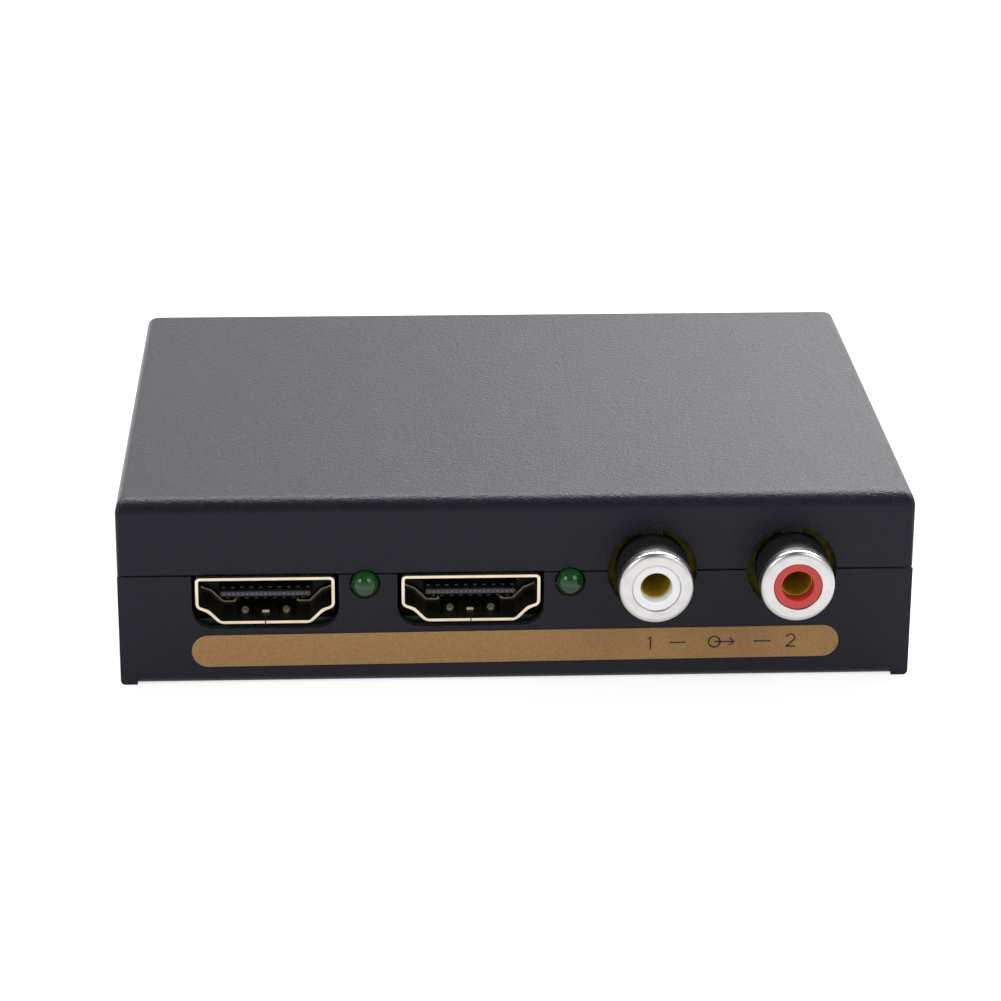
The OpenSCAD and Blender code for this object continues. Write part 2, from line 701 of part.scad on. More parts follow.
module input_socket_shell() { socket_shell(hdmi_xs[0]); }
module output_socket_shell() { socket_shell(hdmi_xs[1]); }
module input_socket_insulator() { socket_insulator(hdmi_xs[0]); }
module output_socket_insulator() { socket_insulator(hdmi_xs[1]); }
module input_socket_contacts() { color(brass) translate([hdmi_xs[0], 0, 0]) contact_row(); }
module output_socket_contacts() { color(brass) translate([hdmi_xs[1], 0, 0]) contact_row(); }

// Lamp: a domed lens with a flange at its back
module lamp(x) {
  color("green") translate([x, front_y + led_l, led_z]) rotate([90, 0, 0]) rotate_extrude()
    polygon(concat([[0, 0], [led_flange_d / 2, 0], [led_flange_d / 2, led_flange_t],
      [led_d / 2, led_flange_t]],
      arc([0, led_l], led_d / 2, 0, 90)));
}

module input_lamp() { lamp(led_xs[0]); }
module output_lamp() { lamp(led_xs[1]); }

module lamp_leads() {
  color(steel) for (p = led_lead_places) {
    block([p[0] - lead_w / 2, front_y + led_l, led_z - lead_w / 2],
      [p[0] + lead_w / 2, led_lead_y + lead_w / 2, led_z + lead_w / 2]);
    block([p[0] - lead_w / 2, led_lead_y - lead_w / 2, board_low - lead_drop],
      [p[0] + lead_w / 2, led_lead_y + lead_w / 2, led_z + lead_w / 2]);
  }
}

// Phono jacks: one moulded block each, on the same board, with a snout through the panel
module jack_housing() {
  seat_l = jack_ring_l;
  color(moulded) for (x = jack_xs) difference() {
    union() {
      block([x - jack_block_w / 2, block_face, board_top],
        [x + jack_block_w / 2, jack_block_rear, jack_block_top]);
      rod_y(x, jack_z, jack_front + seat_l, block_face - jack_front - seat_l + over, jack_snout_d);
      rod_y(x, jack_z, jack_front + ring_roll, seat_l, ring_seat_d);
      block([x - rib_w / 2, ground_front, jack_z + jack_snout_d / 2 - over],
        [x + rib_w / 2, block_face + over, jack_z + ground_outer_d / 2]);
    }
    rod_y(x, jack_z, jack_front - over, insulator_setback + insulator_l + over, jack_insulator_d + 2 * fit);
    rod_y(x, jack_z, jack_front, jack_block_rear - jack_front + over, socket_outer_d + 2 * fit);
  }
}

module jack_ground_rings() {
  color(brass) for (x = jack_xs) {
    difference() {
      union() {
        rod_y(x, jack_z, ground_front, ground_t, ground_outer_d);
        block([x + strap_x - strap_t / 2, ground_front, jack_z - strap_w / 2],
          [x, block_face, jack_z + strap_w / 2]);
      }
      rod_y(x, jack_z, ground_front - over, ground_t + 2 * over, ground_inner_d);
      block([x - rib_w / 2 - fit, ground_front - over, jack_z],
        [x + rib_w / 2 + fit, block_face + over, jack_z + ground_outer_d / 2 + over]);
    }
    block([x + strap_x - strap_t / 2, ground_front, jack_z - strap_w / 2],
      [x + strap_x + strap_t / 2, block_face + strap_l, jack_z + strap_w / 2]);
    block([x + strap_x - strap_t / 2, strap_y - tail_w / 2, board_low - lead_drop],
      [x + strap_x + strap_t / 2, strap_y + tail_w / 2, jack_z]);
  }
}

// Metal ring with a rolled front edge, pressed on the end of the snout
module jack_ring(x) {
  r = jack_ring_d / 2;
  roll = ring_roll;
  back = jack_ring_l - fit;
  color("silver") translate([x, jack_front, jack_z]) rotate([-90, 0, 0]) rotate_extrude()
    polygon(concat([[ring_seat_d / 2 + fit, back], [ring_seat_d / 2 + fit, roll - fit],
      [jack_insulator_d / 2 + fit, roll - fit], [jack_insulator_d / 2 + fit, 0]],
      arc([r - roll, roll], roll, 270, 360), [[r, back]]));
}

module left_jack_ring() { jack_ring(jack_xs[0]); }
module right_jack_ring() { jack_ring(jack_xs[1]); }

module jack_insulator(x) {
  color(x == jack_xs[1] ? "red" : "white") difference() {
    rod_y(x, jack_z, jack_front + insulator_setback, insulator_l, jack_insulator_d);
    rod_y(x, jack_z, jack_front, insulator_l + over, pin_hole_d);
    rod_y(x, jack_z, jack_front + insulator_setback + pin_hole_l, insulator_l, socket_outer_d + 2 * fit);
  }
}

module left_jack_insulator() { jack_insulator(jack_xs[0]); }
module right_jack_insulator() { jack_insulator(jack_xs[1]); }

// Brass socket for the plug's pin, with a tail down the back of the block
module jack_contact(x) {
  start = jack_front + insulator_setback + pin_hole_l + fit;
  color(brass) difference() {
    union() {
      rod_y(x, jack_z, start, jack_block_rear - start, socket_outer_d);
      block([x - tail_w / 2, jack_block_rear, board_low - lead_drop],
        [x + tail_w / 2, jack_block_rear + tail_t, jack_z + tail_w / 2]);
    }
    rod_y(x, jack_z, start - over, jack_block_rear - start, pin_socket_d);
  }
}

module left_jack_contact() { jack_contact(jack_xs[0]); }
module right_jack_contact() { jack_contact(jack_xs[1]); }

// Optical outlet: a box with a square mouth, a pocket for the open shutter and a bore for its pin
module optical_housing() {
  mouth_front = optical_rear - optical_mouth_d;
  color(moulded) difference() {
    block([optical_x - optical_w / 2, optical_front, optical_low],
      [optical_x + optical_w / 2, optical_rear, optical_low + optical_h]);
    block([optical_x - optical_mouth_w / 2, mouth_front, optical_floor],
      [optical_x + optical_mouth_w / 2, optical_rear + over, optical_mouth_top]);
    block([optical_x - optical_mouth_w / 2, mouth_front, optical_mouth_top - fit],
      [optical_x + optical_mouth_w / 2, optical_rear + over, optical_mouth_top + shutter_pocket_h]);
    translate([optical_x - optical_w / 2 - over, shutter_axis_y, shutter_axis_z]) rotate([0, 90, 0])
      cylinder(h = optical_w + 2 * over, d = shutter_pin_d + 2 * fit);
    rod_y(optical_x, emitter_z, optical_front - over, optical_d, emitter_d + 2 * fit);
  }
}

module shutter_pin() {
  color(steel) translate([optical_x - optical_w / 2, shutter_axis_y, shutter_axis_z]) rotate([0, 90, 0])
    cylinder(h = optical_w, d = shutter_pin_d);
}

// The shutter: a plate under a knuckle that turns on the pin
module optical_shutter() {
  neck = shutter_knuckle_d / 2;
  color(moulded) difference() {
    union() {
      translate([optical_x - shutter_knuckle_l / 2, shutter_axis_y, shutter_axis_z]) rotate([0, 90, 0])
        cylinder(h = shutter_knuckle_l, d = shutter_knuckle_d);
      block([optical_x - shutter_w / 2, shutter_axis_y - shutter_t / 2, shutter_low],
        [optical_x + shutter_w / 2, shutter_axis_y + shutter_t / 2, shutter_axis_z - neck - fit]);
      block([optical_x - shutter_knuckle_l / 2, shutter_axis_y - shutter_t / 2, shutter_low],
        [optical_x + shutter_knuckle_l / 2, shutter_axis_y + shutter_t / 2, shutter_axis_z]);
    }
    translate([optical_x - optical_w / 2, shutter_axis_y, shutter_axis_z]) rotate([0, 90, 0])
      cylinder(h = optical_w, d = shutter_pin_d + 2 * fit);
  }
}

// The return spring, a wound coil beside the knuckle
module shutter_spring() {
  color(steel) translate([optical_x + shutter_knuckle_l / 2 + hole_fit, shutter_axis_y, shutter_axis_z])
    rotate([0, 90, 0]) difference() {
      cylinder(h = spring_coil_l, d = spring_coil_d);
      translate([0, 0, -over]) cylinder(h = spring_coil_l + 2 * over, d = spring_bore_d);
    }
}

module optical_emitter() {
  color("darkred") rod_y(optical_x, emitter_z, optical_front, optical_d - optical_mouth_d, emitter_d);
}

module optical_leads() {
  color(steel) for (x = optical_lead_xs)
    block([x - lead_w / 2, optical_front - lead_w, board_low - lead_drop],
      [x + lead_w / 2, optical_front, emitter_z]);
}

// Power socket: a moulded body, its centre pin and the leaf that meets the plug's sleeve
module power_jack_body() {
  color(moulded) difference() {
    union() {
      block([power_x - power_w / 2, power_front, board_top],
        [power_x + power_w / 2, power_block_rear, board_top + power_h]);
      rod_y(power_x, power_z, power_block_rear - over, power_rear - power_block_rear + over, power_snout_d);
    }
    rod_y(power_x, power_z, power_rear - power_bore_l, power_bore_l + over, power_bore_d);
    rod_y(power_x, power_z, power_front - over, power_d, power_pin_d + 2 * fit);
    block([power_x - leaf_w / 2 - fit, power_rear - power_bore_l, board_top - over],
      [power_x + leaf_w / 2 + fit, power_rear - power_bore_l + leaf_l + hole_fit,
        power_z - power_bore_d / 2 + leaf_t]);
  }
}

module power_jack_pin() {
  length = power_rear - power_pin_tip - power_front;
  tip = power_pin_d / 4;
  color("silver") {
    rod_y(power_x, power_z, power_front, length - tip, power_pin_d);
    rod_y(power_x, power_z, power_front + length - tip, tip, power_pin_d, power_pin_d - 2 * tip);
    block([power_x - tail_w / 2, power_front - tail_t, board_low - lead_drop],
      [power_x + tail_w / 2, power_front, power_z + tail_w / 2]);
  }
}

module power_jack_spring() {
  y0 = power_rear - power_bore_l;
  top = power_z - power_bore_d / 2;
  color(brass) {
    block([power_x - leaf_w / 2, y0, top - leaf_t], [power_x + leaf_w / 2, y0 + leaf_l, top]);
    block([power_x - tail_w / 2 + hole_fit, power_leaf_y - tail_t / 2, board_low - lead_drop],
      [power_x + tail_w / 2 - hole_fit, power_leaf_y + tail_t / 2, top]);
  }
}

// Mode switch: a folded frame over a moulded base, with a slider between them
module switch_frame() {
  low = board_top;
  high = board_top + switch_h;
  color(steel) difference() {
    block([switch_x - switch_w / 2, switch_front, low], [switch_x + switch_w / 2, switch_rear, high]);
    block([switch_x - switch_w / 2 + switch_plate, switch_front - over, low + switch_plate],
      [switch_x + switch_w / 2 - switch_plate, switch_rear - switch_plate, high - switch_plate]);
    block([switch_x - slot_w / 2, switch_front - over, switch_z - slot_h / 2],
      [switch_x + slot_w / 2, switch_rear + over, switch_z + slot_h / 2]);
    for (x = switch_terminal_xs) translate([x, switch_terminal_y, low - over])
      cylinder(h = switch_plate + 2 * over, d = lead_hole_d);
  }
}

module switch_base() {
  color([0.35, 0.2, 0.12]) difference() {
    block([switch_x - switch_w / 2 + switch_plate, switch_front, board_top + switch_plate],
      [switch_x + switch_w / 2 - switch_plate, switch_front + base_d, board_top + switch_h - switch_plate]);
    for (x = switch_terminal_xs)
      block([x - terminal_w / 2, switch_terminal_y - terminal_t / 2, board_top],
        [x + terminal_w / 2, switch_terminal_y + terminal_t / 2, switch_z]);
  }
}

module switch_slider() {
  color(moulded) {
    block([switch_x - carriage_w / 2, carriage_rear - carriage_d, switch_z - carriage_h / 2],
      [switch_x + carriage_w / 2, carriage_rear, switch_z + carriage_h / 2]);
    block([switch_x - knob_w / 2, carriage_rear - carriage_d, switch_z - knob_w / 2],
      [switch_x + knob_w / 2, rear_y + knob_proud, switch_z + knob_w / 2]);
  }
}

module switch_terminals() {
  color(brass) for (x = switch_terminal_xs)
    block([x - terminal_w / 2, switch_terminal_y - terminal_t / 2, board_low - lead_drop],
      [x + terminal_w / 2, switch_terminal_y + terminal_t / 2, switch_z]);
}

// Moves its children to a place on the board given as shares of its half width and half depth
module on_board(shares) {
  translate([shares[0] * board_w / 2, board_mid_y + shares[1] * board_d / 2, board_top]) children();
}

// A chip body with an eased top, and the legs along two opposite sides of it
module chip_body(w, d, h) {
  ease = h / 6;
  color(moulded) translate([0, 0, chip_lift]) {
    translate([-w / 2, -d / 2, 0]) cube([w, d, h - chip_lift - ease]);
    translate([ease - w / 2, ease - d / 2, 0]) cube([w - 2 * ease, d - 2 * ease, h - chip_lift]);
  }
}

module chip_legs(n, w, d, h) {
  pitch = w / n;
  leg_w = pitch / 2;
  leg_t = h / 8;
  color(steel) for (i = [0:n - 1], s = [0, 1]) mirror([0, s, 0])
    translate([(i - (n - 1) / 2) * pitch, 0, 0]) {
      block([-leg_w / 2, d / 2, h / 2], [leg_w / 2, d / 2 + leg_l / 2, h / 2 + leg_t]);
      block([-leg_w / 2, d / 2 + leg_l / 2 - leg_t, 0], [leg_w / 2, d / 2 + leg_l / 2, h / 2 + leg_t]);
      block([-leg_w / 2, d / 2 + leg_l / 2 - leg_t, 0], [leg_w / 2, d / 2 + leg_l, leg_t]);
    }
}

module receiver_chip() { on_board(receiver_shares) chip_body(chip_size, chip_size, chip_h); }
module receiver_chip_legs() {
  on_board(receiver_shares) for (a = [0, 90]) rotate(a)
    chip_legs(chip_legs_n, chip_size - leg_l, chip_size, chip_h);
}
module audio_chip() { on_board(audio_shares) chip_body(audio_chip_size[0], audio_chip_size[1], audio_chip_h); }
module audio_chip_legs() {
  on_board(audio_shares) chip_legs(audio_legs_n, audio_chip_size[0], audio_chip_size[1], audio_chip_h);
}
module voltage_regulator() { on_board(regulator_shares) chip_body(regulator_size[0], regulator_size[1], regulator_h); }
module regulator_legs() {
  on_board(regulator_shares) chip_legs(regulator_legs_n, regulator_size[0], regulator_size[1], regulator_h);
}

module clock_crystal() {
  r = crystal_size[1] / 2;
  rim = crystal_base_t;
  color("silver") on_board(crystal_shares) {
    linear_extrude(crystal_base_t) polygon(rounded_rect(crystal_size[0] + 2 * rim, crystal_size[1] + 2 * rim, r));
    linear_extrude(crystal_h) polygon(rounded_rect(crystal_size[0], crystal_size[1], r - rim));
  }
}

module power_inductor() {
  ease = inductor_size / 6;
  color([0.2, 0.2, 0.2]) on_board(inductor_shares)
    linear_extrude(inductor_h) polygon(rounded_rect(inductor_size, inductor_size, ease));
}

module capacitor_cans() {
  r = can_d / 2;
  color("silver") for (p = can_shares) on_board(p) translate([0, 0, can_base_t]) rotate_extrude()
    polygon([[0, 0], [r, 0], [r, can_base_t], [r - can_groove, can_base_t + can_groove],
      [r, can_base_t + 2 * can_groove], [r, can_h - can_base_t - can_groove],
      [r - can_groove, can_h - can_base_t], [0, can_h - can_base_t]]);
}

module capacitor_bases() {
  color(moulded) for (p = can_shares) on_board(p)
    linear_extrude(can_base_t) polygon(rounded_rect(can_base, can_base, can_base / 6));
}

// Short rows of small parts, each with its two metal ends drawn as one block
module small_parts(rows, size) {
  for (p = rows) on_board(p) for (i = [0:small_n - 1])
    translate([-size[0] / 2, (i - (small_n - 1) / 2) * small_pitch - size[1] / 2, 0]) cube(size);
}

module small_capacitors() { color([0.6, 0.45, 0.3]) small_parts(capacitor_shares, chip_part); }
module small_resistors() { color([0.1, 0.1, 0.12]) small_parts(resistor_shares, resistor_part); }

bottom_case();
top_cover();
side_brackets();
cover_screws();
front_label();
rear_label();
board_standoffs();
board_screws();
main_board();
input_socket_shell();
input_socket_insulator();
input_socket_contacts();
output_socket_shell();
output_socket_insulator();
output_socket_contacts();
input_lamp();
output_lamp();
lamp_leads();
jack_housing();
jack_ground_rings();
left_jack_ring();
right_jack_ring();
left_jack_insulator();
right_jack_insulator();
left_jack_contact();
right_jack_contact();
optical_housing();
optical_shutter();
shutter_pin();
shutter_spring();
optical_emitter();
optical_leads();
power_jack_body();
power_jack_pin();
power_jack_spring();
switch_frame();
switch_base();
switch_slider();
switch_terminals();
receiver_chip();
receiver_chip_legs();
audio_chip();
audio_chip_legs();
voltage_regulator();
regulator_legs();
clock_crystal();
power_inductor();
capacitor_cans();
capacitor_bases();
small_capacitors();
small_resistors();
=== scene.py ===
import bmesh
import bpy
import json
import math
import numpy as np
from mathutils import Matrix


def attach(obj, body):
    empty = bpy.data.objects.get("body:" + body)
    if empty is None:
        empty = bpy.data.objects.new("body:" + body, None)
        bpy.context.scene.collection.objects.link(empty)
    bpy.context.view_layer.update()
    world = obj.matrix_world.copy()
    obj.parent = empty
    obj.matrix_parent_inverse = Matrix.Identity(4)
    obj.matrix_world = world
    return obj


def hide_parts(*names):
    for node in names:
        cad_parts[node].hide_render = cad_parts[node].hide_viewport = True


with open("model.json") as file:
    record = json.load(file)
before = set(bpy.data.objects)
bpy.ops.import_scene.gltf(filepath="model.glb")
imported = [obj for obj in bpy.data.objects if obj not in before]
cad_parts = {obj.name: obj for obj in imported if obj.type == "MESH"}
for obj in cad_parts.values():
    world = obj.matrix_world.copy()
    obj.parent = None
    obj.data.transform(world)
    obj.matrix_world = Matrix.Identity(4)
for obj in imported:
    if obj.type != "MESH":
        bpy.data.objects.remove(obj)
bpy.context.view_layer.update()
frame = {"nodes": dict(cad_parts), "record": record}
print("frame loaded with", len(frame["nodes"]), "nodes")

mm = 0.001  # shapes are worked out in millimetres and end in metres

# outlines, as arrays of points in a plane


def arc(centre, radius, start, stop, steps):
    # centre + radius * (cos a, sin a), with a going evenly from start to stop in degrees
    a = np.radians(np.linspace(start, stop, steps + 1))
    return np.stack([centre[0] + radius * np.cos(a), centre[1] + radius * np.sin(a)], 1)


def roundedBox(width, height, radius, steps=8, centre=(0, 0)):
    # a quarter circle at each corner of a rectangle, anticlockwise
    w, h = width / 2 - radius, height / 2 - radius
    corners = [((w, h), 0), ((-w, h), 90), ((-w, -h), 180), ((w, -h), 270)]
    return np.concatenate([arc(c, radius, a, a + 90, steps) for c, a in corners]) + centre


def inset(points, distance):
    # each side moves inward by distance: a corner goes along (a + b) / (1 + a.b) of its two unit normals
    back = points - np.roll(points, 1, 0)
    back /= np.linalg.norm(back, axis=1)[:, None]
    normal = np.stack([-back[:, 1], back[:, 0]], 1)
    after = np.roll(normal, -1, 0)
    return points - distance * (normal + after) / (1 + (normal * after).sum(1))[:, None]


def eased(points, cut, steps=8):
    # each corner becomes the curve (1-s)^2 q0 + 2s(1-s) p + s^2 q1, with q0 and q1 at cut from the corner p
    before = np.roll(points, 1, 0) - points
    after = np.roll(points, -1, 0) - points
    q0 = points + cut * before / np.linalg.norm(before, axis=1)[:, None]
    q1 = points + cut * after / np.linalg.norm(after, axis=1)[:, None]
    s = np.linspace(0, 1, steps + 1)[None, :, None]
    curve = (1 - s) ** 2 * q0[:, None] + 2 * s * (1 - s) * points[:, None] + s**2 * q1[:, None]
    return curve.reshape(-1, 2)


# surfaces, as (points, quads, caps)


def loft(rings, closed=False):
    # ring i is joined to ring i + 1 point by point; closed joins the last ring to the first, else flat caps
    rings = np.asarray(rings, float)
    m, n = rings.shape[:2]
    i = np.arange(m if closed else m - 1)[:, None]
    j = np.arange(n)[None, :]
    here, there = i * n, (i + 1) % m * n
    quads = np.stack([here + j, here + (j + 1) % n, there + (j + 1) % n, there + j], -1).reshape(-1, 4)
    caps = [] if closed else [np.arange(n)[::-1], np.arange(n) + (m - 1) * n]
    return rings.reshape(-1, 3), quads, caps


def alongY(outline, y):
    # the (x, z) outline set at depth y
    return np.column_stack([outline[:, 0], np.full(len(outline), y), outline[:, 1]])


def alongX(outline, x):
    # the (y, z) outline set at x
    return np.column_stack([np.full(len(outline), x), outline[:, 0], outline[:, 1]])


def alongZ(outline, z):
    return np.column_stack([outline[:, 0], outline[:, 1], np.full(len(outline), z)])


def bar(outline, start, stop, place=alongY):
    return loft([place(outline, start), place(outline, stop)])


def turned(profile, centre, steps=96):
    # profile rows are (radius, y): each goes round the axis through centre = (x, z) that runs along Y
    a = np.linspace(0, 2 * math.pi, steps, endpoint=False)[:, None]
    r, y = profile[:, 0][None], profile[:, 1][None]
    rings = np.stack([centre[0] + r * np.cos(a), y + 0 * a, centre[1] + r * np.sin(a)], -1)
    return loft(rings, closed=True)


def ribbon(path, width, low, high, closed=False):
    # a flat stroke: each point of the (x, z) path goes half a width to each side, between two depths
    ahead = np.roll(path, -1, 0) - np.roll(path, 1, 0)
    if not closed:
        ahead[0], ahead[-1] = path[1] - path[0], path[-1] - path[-2]
    ahead /= np.linalg.norm(ahead, axis=1)[:, None]
    side = np.stack([-ahead[:, 1], ahead[:, 0]], 1) * width / 2
    rows = [(path + side, high), (path - side, high), (path - side, low), (path + side, low)]
    rings = np.stack([alongY(p, y) for p, y in rows], 1)
    return loft(rings, closed)


# meshes and objects


def newObject(name, parts):
    # several surfaces in one mesh, still in millimetres
    points, faces, start = [], [], 0
    for p, quads, caps in parts:
        points.append(p)
        faces += (quads + start).tolist() + [(c + start).tolist() for c in caps]
        start += len(p)
    mesh = bpy.data.meshes.new(name)
    mesh.from_pydata(np.concatenate(points).tolist(), [], faces)
    cleanMesh(mesh, 1e-5)
    obj = bpy.data.objects.new(name, mesh)
    bpy.context.scene.collection.objects.link(obj)
    return obj


def cleanMesh(mesh, distance, flatten=False):
    work = bmesh.new()
    work.from_mesh(mesh)
    bmesh.ops.remove_doubles(work, verts=work.verts[:], dist=distance)
    if flatten:  # triangles of one flat face become one face
        bmesh.ops.dissolve_limit(work, angle_limit=math.radians(1), verts=work.verts[:], edges=work.edges[:])
    bmesh.ops.recalc_face_normals(work, faces=work.faces[:])
    work.to_mesh(mesh)
    work.free()


def settle(obj):
    # what the modifiers make becomes the mesh itself
    bpy.context.view_layer.update()
    depsgraph = bpy.context.evaluated_depsgraph_get()
    mesh = bpy.data.meshes.new_from_object(obj.evaluated_get(depsgraph))
    old = obj.data
    obj.modifiers.clear()
    obj.data = mesh
    bpy.data.meshes.remove(old)


def carve(obj, cutter):
    knife = obj.modifiers.new("carve", "BOOLEAN")
    knife.operation, knife.solver, knife.object = "DIFFERENCE", "EXACT", cutter
    settle(obj)
    bpy.data.objects.remove(cutter)


def softenEdges(obj, width, angle=40, steps=2):
    edge = obj.modifiers.new("edge", "BEVEL")
    edge.width, edge.segments, edge.limit_method = width, steps, "ANGLE"
    edge.angle_limit, edge.harden_normals = math.radians(angle), False
    settle(obj)


def dress(obj, material, replaces=(), body="case", sharp=38, more=()):
    # smooth shading with true flats, then real size, finish and body
    for extra in (material, *more):
        obj.data.materials.append(materials[extra])
    obj.data.polygons.foreach_set("use_smooth", np.ones(len(obj.data.polygons), bool))
    obj.data.set_sharp_from_angle(angle=math.radians(sharp))
    flats = obj.modifiers.new("flats", "WEIGHTED_NORMAL")
    flats.keep_sharp = True
    settle(obj)
    obj.data.transform(Matrix.Scale(mm, 4))
    obj.data.update()
    if replaces:
        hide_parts(*replaces)
    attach(obj, body)
    return obj


def faceTable(obj):
    count = len(obj.data.polygons)
    centre, normal = np.zeros(count * 3, np.float32), np.zeros(count * 3, np.float32)
    obj.data.polygons.foreach_get("center", centre)
    obj.data.polygons.foreach_get("normal", normal)
    return centre.reshape(-1, 3), normal.reshape(-1, 3)


def easedCopy(node, name, material, width, body="case", sharp=38):
    # the CAD shape with its loose triangles joined and its edges softened
    mesh = frame["nodes"][node].data.copy()
    mesh.materials.clear()
    mesh.transform(Matrix.Scale(1 / mm, 4))
    if mesh.has_custom_normals:
        mesh.attributes.remove(mesh.attributes["custom_normal"])
    cleanMesh(mesh, 1e-4, flatten=True)
    obj = bpy.data.objects.new(name, mesh)
    bpy.context.scene.collection.objects.link(obj)
    if width:
        softenEdges(obj, width)
    return dress(obj, material, [node], body, sharp)


# finishes

# colour and second are mixed by a noise of mottle mm; grain is a bump of relief mm high and grain mm wide
finishes = {
    "powderBlack": dict(color=(0.0035, 0.0035, 0.0095), second=(0.0048, 0.0048, 0.011), mottle=1.2,
        rough=(0.35, 0.39), specular=0.2, sheen=0.1, sheenRough=0.4, grain=0.45, relief=0.045,
        fine=0.17, fineRelief=0.055,
        # the specks are painted sparkle: pale dots in the colour for tiny glints of the coat
        specks=dict(spacing=1.5, share=0.16, radius=0.045, color=(0.07, 0.07, 0.08))),
    "goldStripe": dict(color=(0.315, 0.176, 0.066), second=(0.37, 0.212, 0.084), mottle=0.28,
        rough=(0.5, 0.62), metallic=0.15, specular=0.3, grain=0.12, relief=0.003),
    "markInk": dict(color=(0.012, 0.011, 0.012), second=(0.02, 0.018, 0.018), mottle=0.4,
        rough=(0.5, 0.6), specular=0.3, grain=0.1, relief=0.001),
    "goldPlating": dict(color=(0.61, 0.51, 0.38), second=(0.67, 0.57, 0.44), mottle=1.2,
        rough=(0.26, 0.36), metallic=1, grain=0.3, relief=0.002),
    # a dark copy of the plating: painted shade on the inner walls of the video sockets
    "innerPlating": dict(color=(0.010, 0.009, 0.005), second=(0.018, 0.016, 0.008), mottle=0.8,
        rough=(0.35, 0.5), metallic=0.5, grain=0.3, relief=0.003),
    "mouldedBlack": dict(color=(0.010, 0.010, 0.011), second=(0.018, 0.018, 0.019), mottle=0.5,
        rough=(0.38, 0.52), specular=0.4, grain=0.18, relief=0.008),
    # grey of painted light: a band across the black tongue's tip where light falls
    "tongueGrey": dict(color=(0.022, 0.022, 0.034), second=(0.036, 0.036, 0.052), mottle=0.3,
        rough=(0.4, 0.55), grain=0.1, relief=0.002),
    "padGrey": dict(color=(0.085, 0.085, 0.115), second=(0.12, 0.12, 0.155), mottle=0.25,
        rough=(0.35, 0.5), grain=0.1, relief=0.002),
    "contactGold": dict(color=(0.80, 0.62, 0.34), second=(0.88, 0.72, 0.44), mottle=0.5,
        rough=(0.3, 0.4), metallic=1, grain=0.2, relief=0.001),
    "brass": dict(color=(0.62, 0.47, 0.03), second=(0.70, 0.54, 0.045), mottle=1.0, rough=(0.35, 0.5),
        metallic=0.25, grain=0.25, relief=0.004),
    # an olive brass tone darkened to near black: painted shade on the ground rings in their gap and on the
    # socket legs
    "olivePlating": dict(color=(0.017, 0.0145, 0.0005), second=(0.034, 0.030, 0.001), mottle=0.9,
        rough=(0.4, 0.55), metallic=0.9, grain=0.25, relief=0.004),
    # pale gold for painted highlights: bars and strokes put where glints fall inside the video sockets
    "litEdge": dict(color=(0.84, 0.70, 0.42), second=(0.90, 0.77, 0.50), mottle=0.4, rough=(0.3, 0.4),
        metallic=0.1, grain=0.2, relief=0.002),
    # a darker copy of the plating for the finger dimples: painted shade inside the socket
    "springGold": dict(color=(0.16, 0.14, 0.075), second=(0.22, 0.20, 0.11), mottle=0.3,
        rough=(0.35, 0.5), metallic=0.3, grain=0.15, relief=0.004),
    "dimContact": dict(color=(0.035, 0.027, 0.013), second=(0.05, 0.04, 0.02), mottle=0.5,
        rough=(0.4, 0.5), metallic=0.6, grain=0.2, relief=0.001),
    "nickel": dict(color=(0.50, 0.483, 0.48), second=(0.55, 0.535, 0.53), mottle=1.5,
        rough=(0.27, 0.37), metallic=1, grain=0.35, relief=0.002),
    "steel": dict(color=(0.52, 0.52, 0.54), second=(0.62, 0.62, 0.64), mottle=1.5, rough=(0.3, 0.45),
        metallic=1, grain=0.2, relief=0.003),
    "blackScrew": dict(color=(0.02, 0.02, 0.022), second=(0.035, 0.035, 0.037), mottle=0.6,
        rough=(0.3, 0.42), metallic=0.6, grain=0.15, relief=0.003),
    "insulatorWhite": dict(color=(0.90, 0.90, 0.91), second=(0.93, 0.93, 0.93), mottle=1.5,
        rough=(0.3, 0.4), subsurface=0.15, grain=0.3, relief=0.002),
    "insulatorRed": dict(color=(0.50, 0.034, 0.024), second=(0.56, 0.042, 0.03), mottle=1.5,
        rough=(0.3, 0.4), subsurface=0.05, grain=0.3, relief=0.002),
    "lampGreen": dict(color=(0.006, 0.046, 0.009), second=(0.008, 0.058, 0.012), mottle=1.2,
        rough=(0.05, 0.08), specular=0.44, grain=0.5, relief=0.001),
    # the board's green darkened to near black: painted shade inside the case
    "boardGreen": dict(color=(0.002, 0.006, 0.0035), second=(0.003, 0.009, 0.005), mottle=4,
        rough=(0.3, 0.45), grain=0.3, relief=0.004),
    "chipBlack": dict(color=(0.02, 0.02, 0.021), second=(0.03, 0.03, 0.031), mottle=0.6,
        rough=(0.5, 0.65), grain=0.1, relief=0.004),
    "brightCan": dict(color=(0.72, 0.72, 0.73), second=(0.8, 0.8, 0.81), mottle=1.5, rough=(0.25, 0.35),
        metallic=1, grain=0.25, relief=0.002),
    "ferrite": dict(color=(0.05, 0.05, 0.054), second=(0.075, 0.075, 0.08), mottle=0.4,
        rough=(0.6, 0.75), grain=0.15, relief=0.008),
    "ceramicTan": dict(color=(0.38, 0.25, 0.14), second=(0.46, 0.31, 0.18), mottle=0.5,
        rough=(0.45, 0.6), grain=0.15, relief=0.004),
    "phenolic": dict(color=(0.11, 0.042, 0.016), second=(0.15, 0.06, 0.024), mottle=0.7,
        rough=(0.45, 0.6), grain=0.3, relief=0.003),
    "emitterRed": dict(color=(0.3, 0.015, 0.015), second=(0.38, 0.025, 0.02), mottle=1,
        rough=(0.15, 0.25), grain=0.4, relief=0.001),
}
# bands of a noise that go from 0 to 1, its size for roughness, the soft share of a speck, scatter in mm
shading = dict(colorBand=(0.35, 0.65), roughBand=(0.3, 0.7), roughMottle=0.6, speckEdge=0.4,
               scatter=(0.6, 0.4, 0.3))
materials = {}


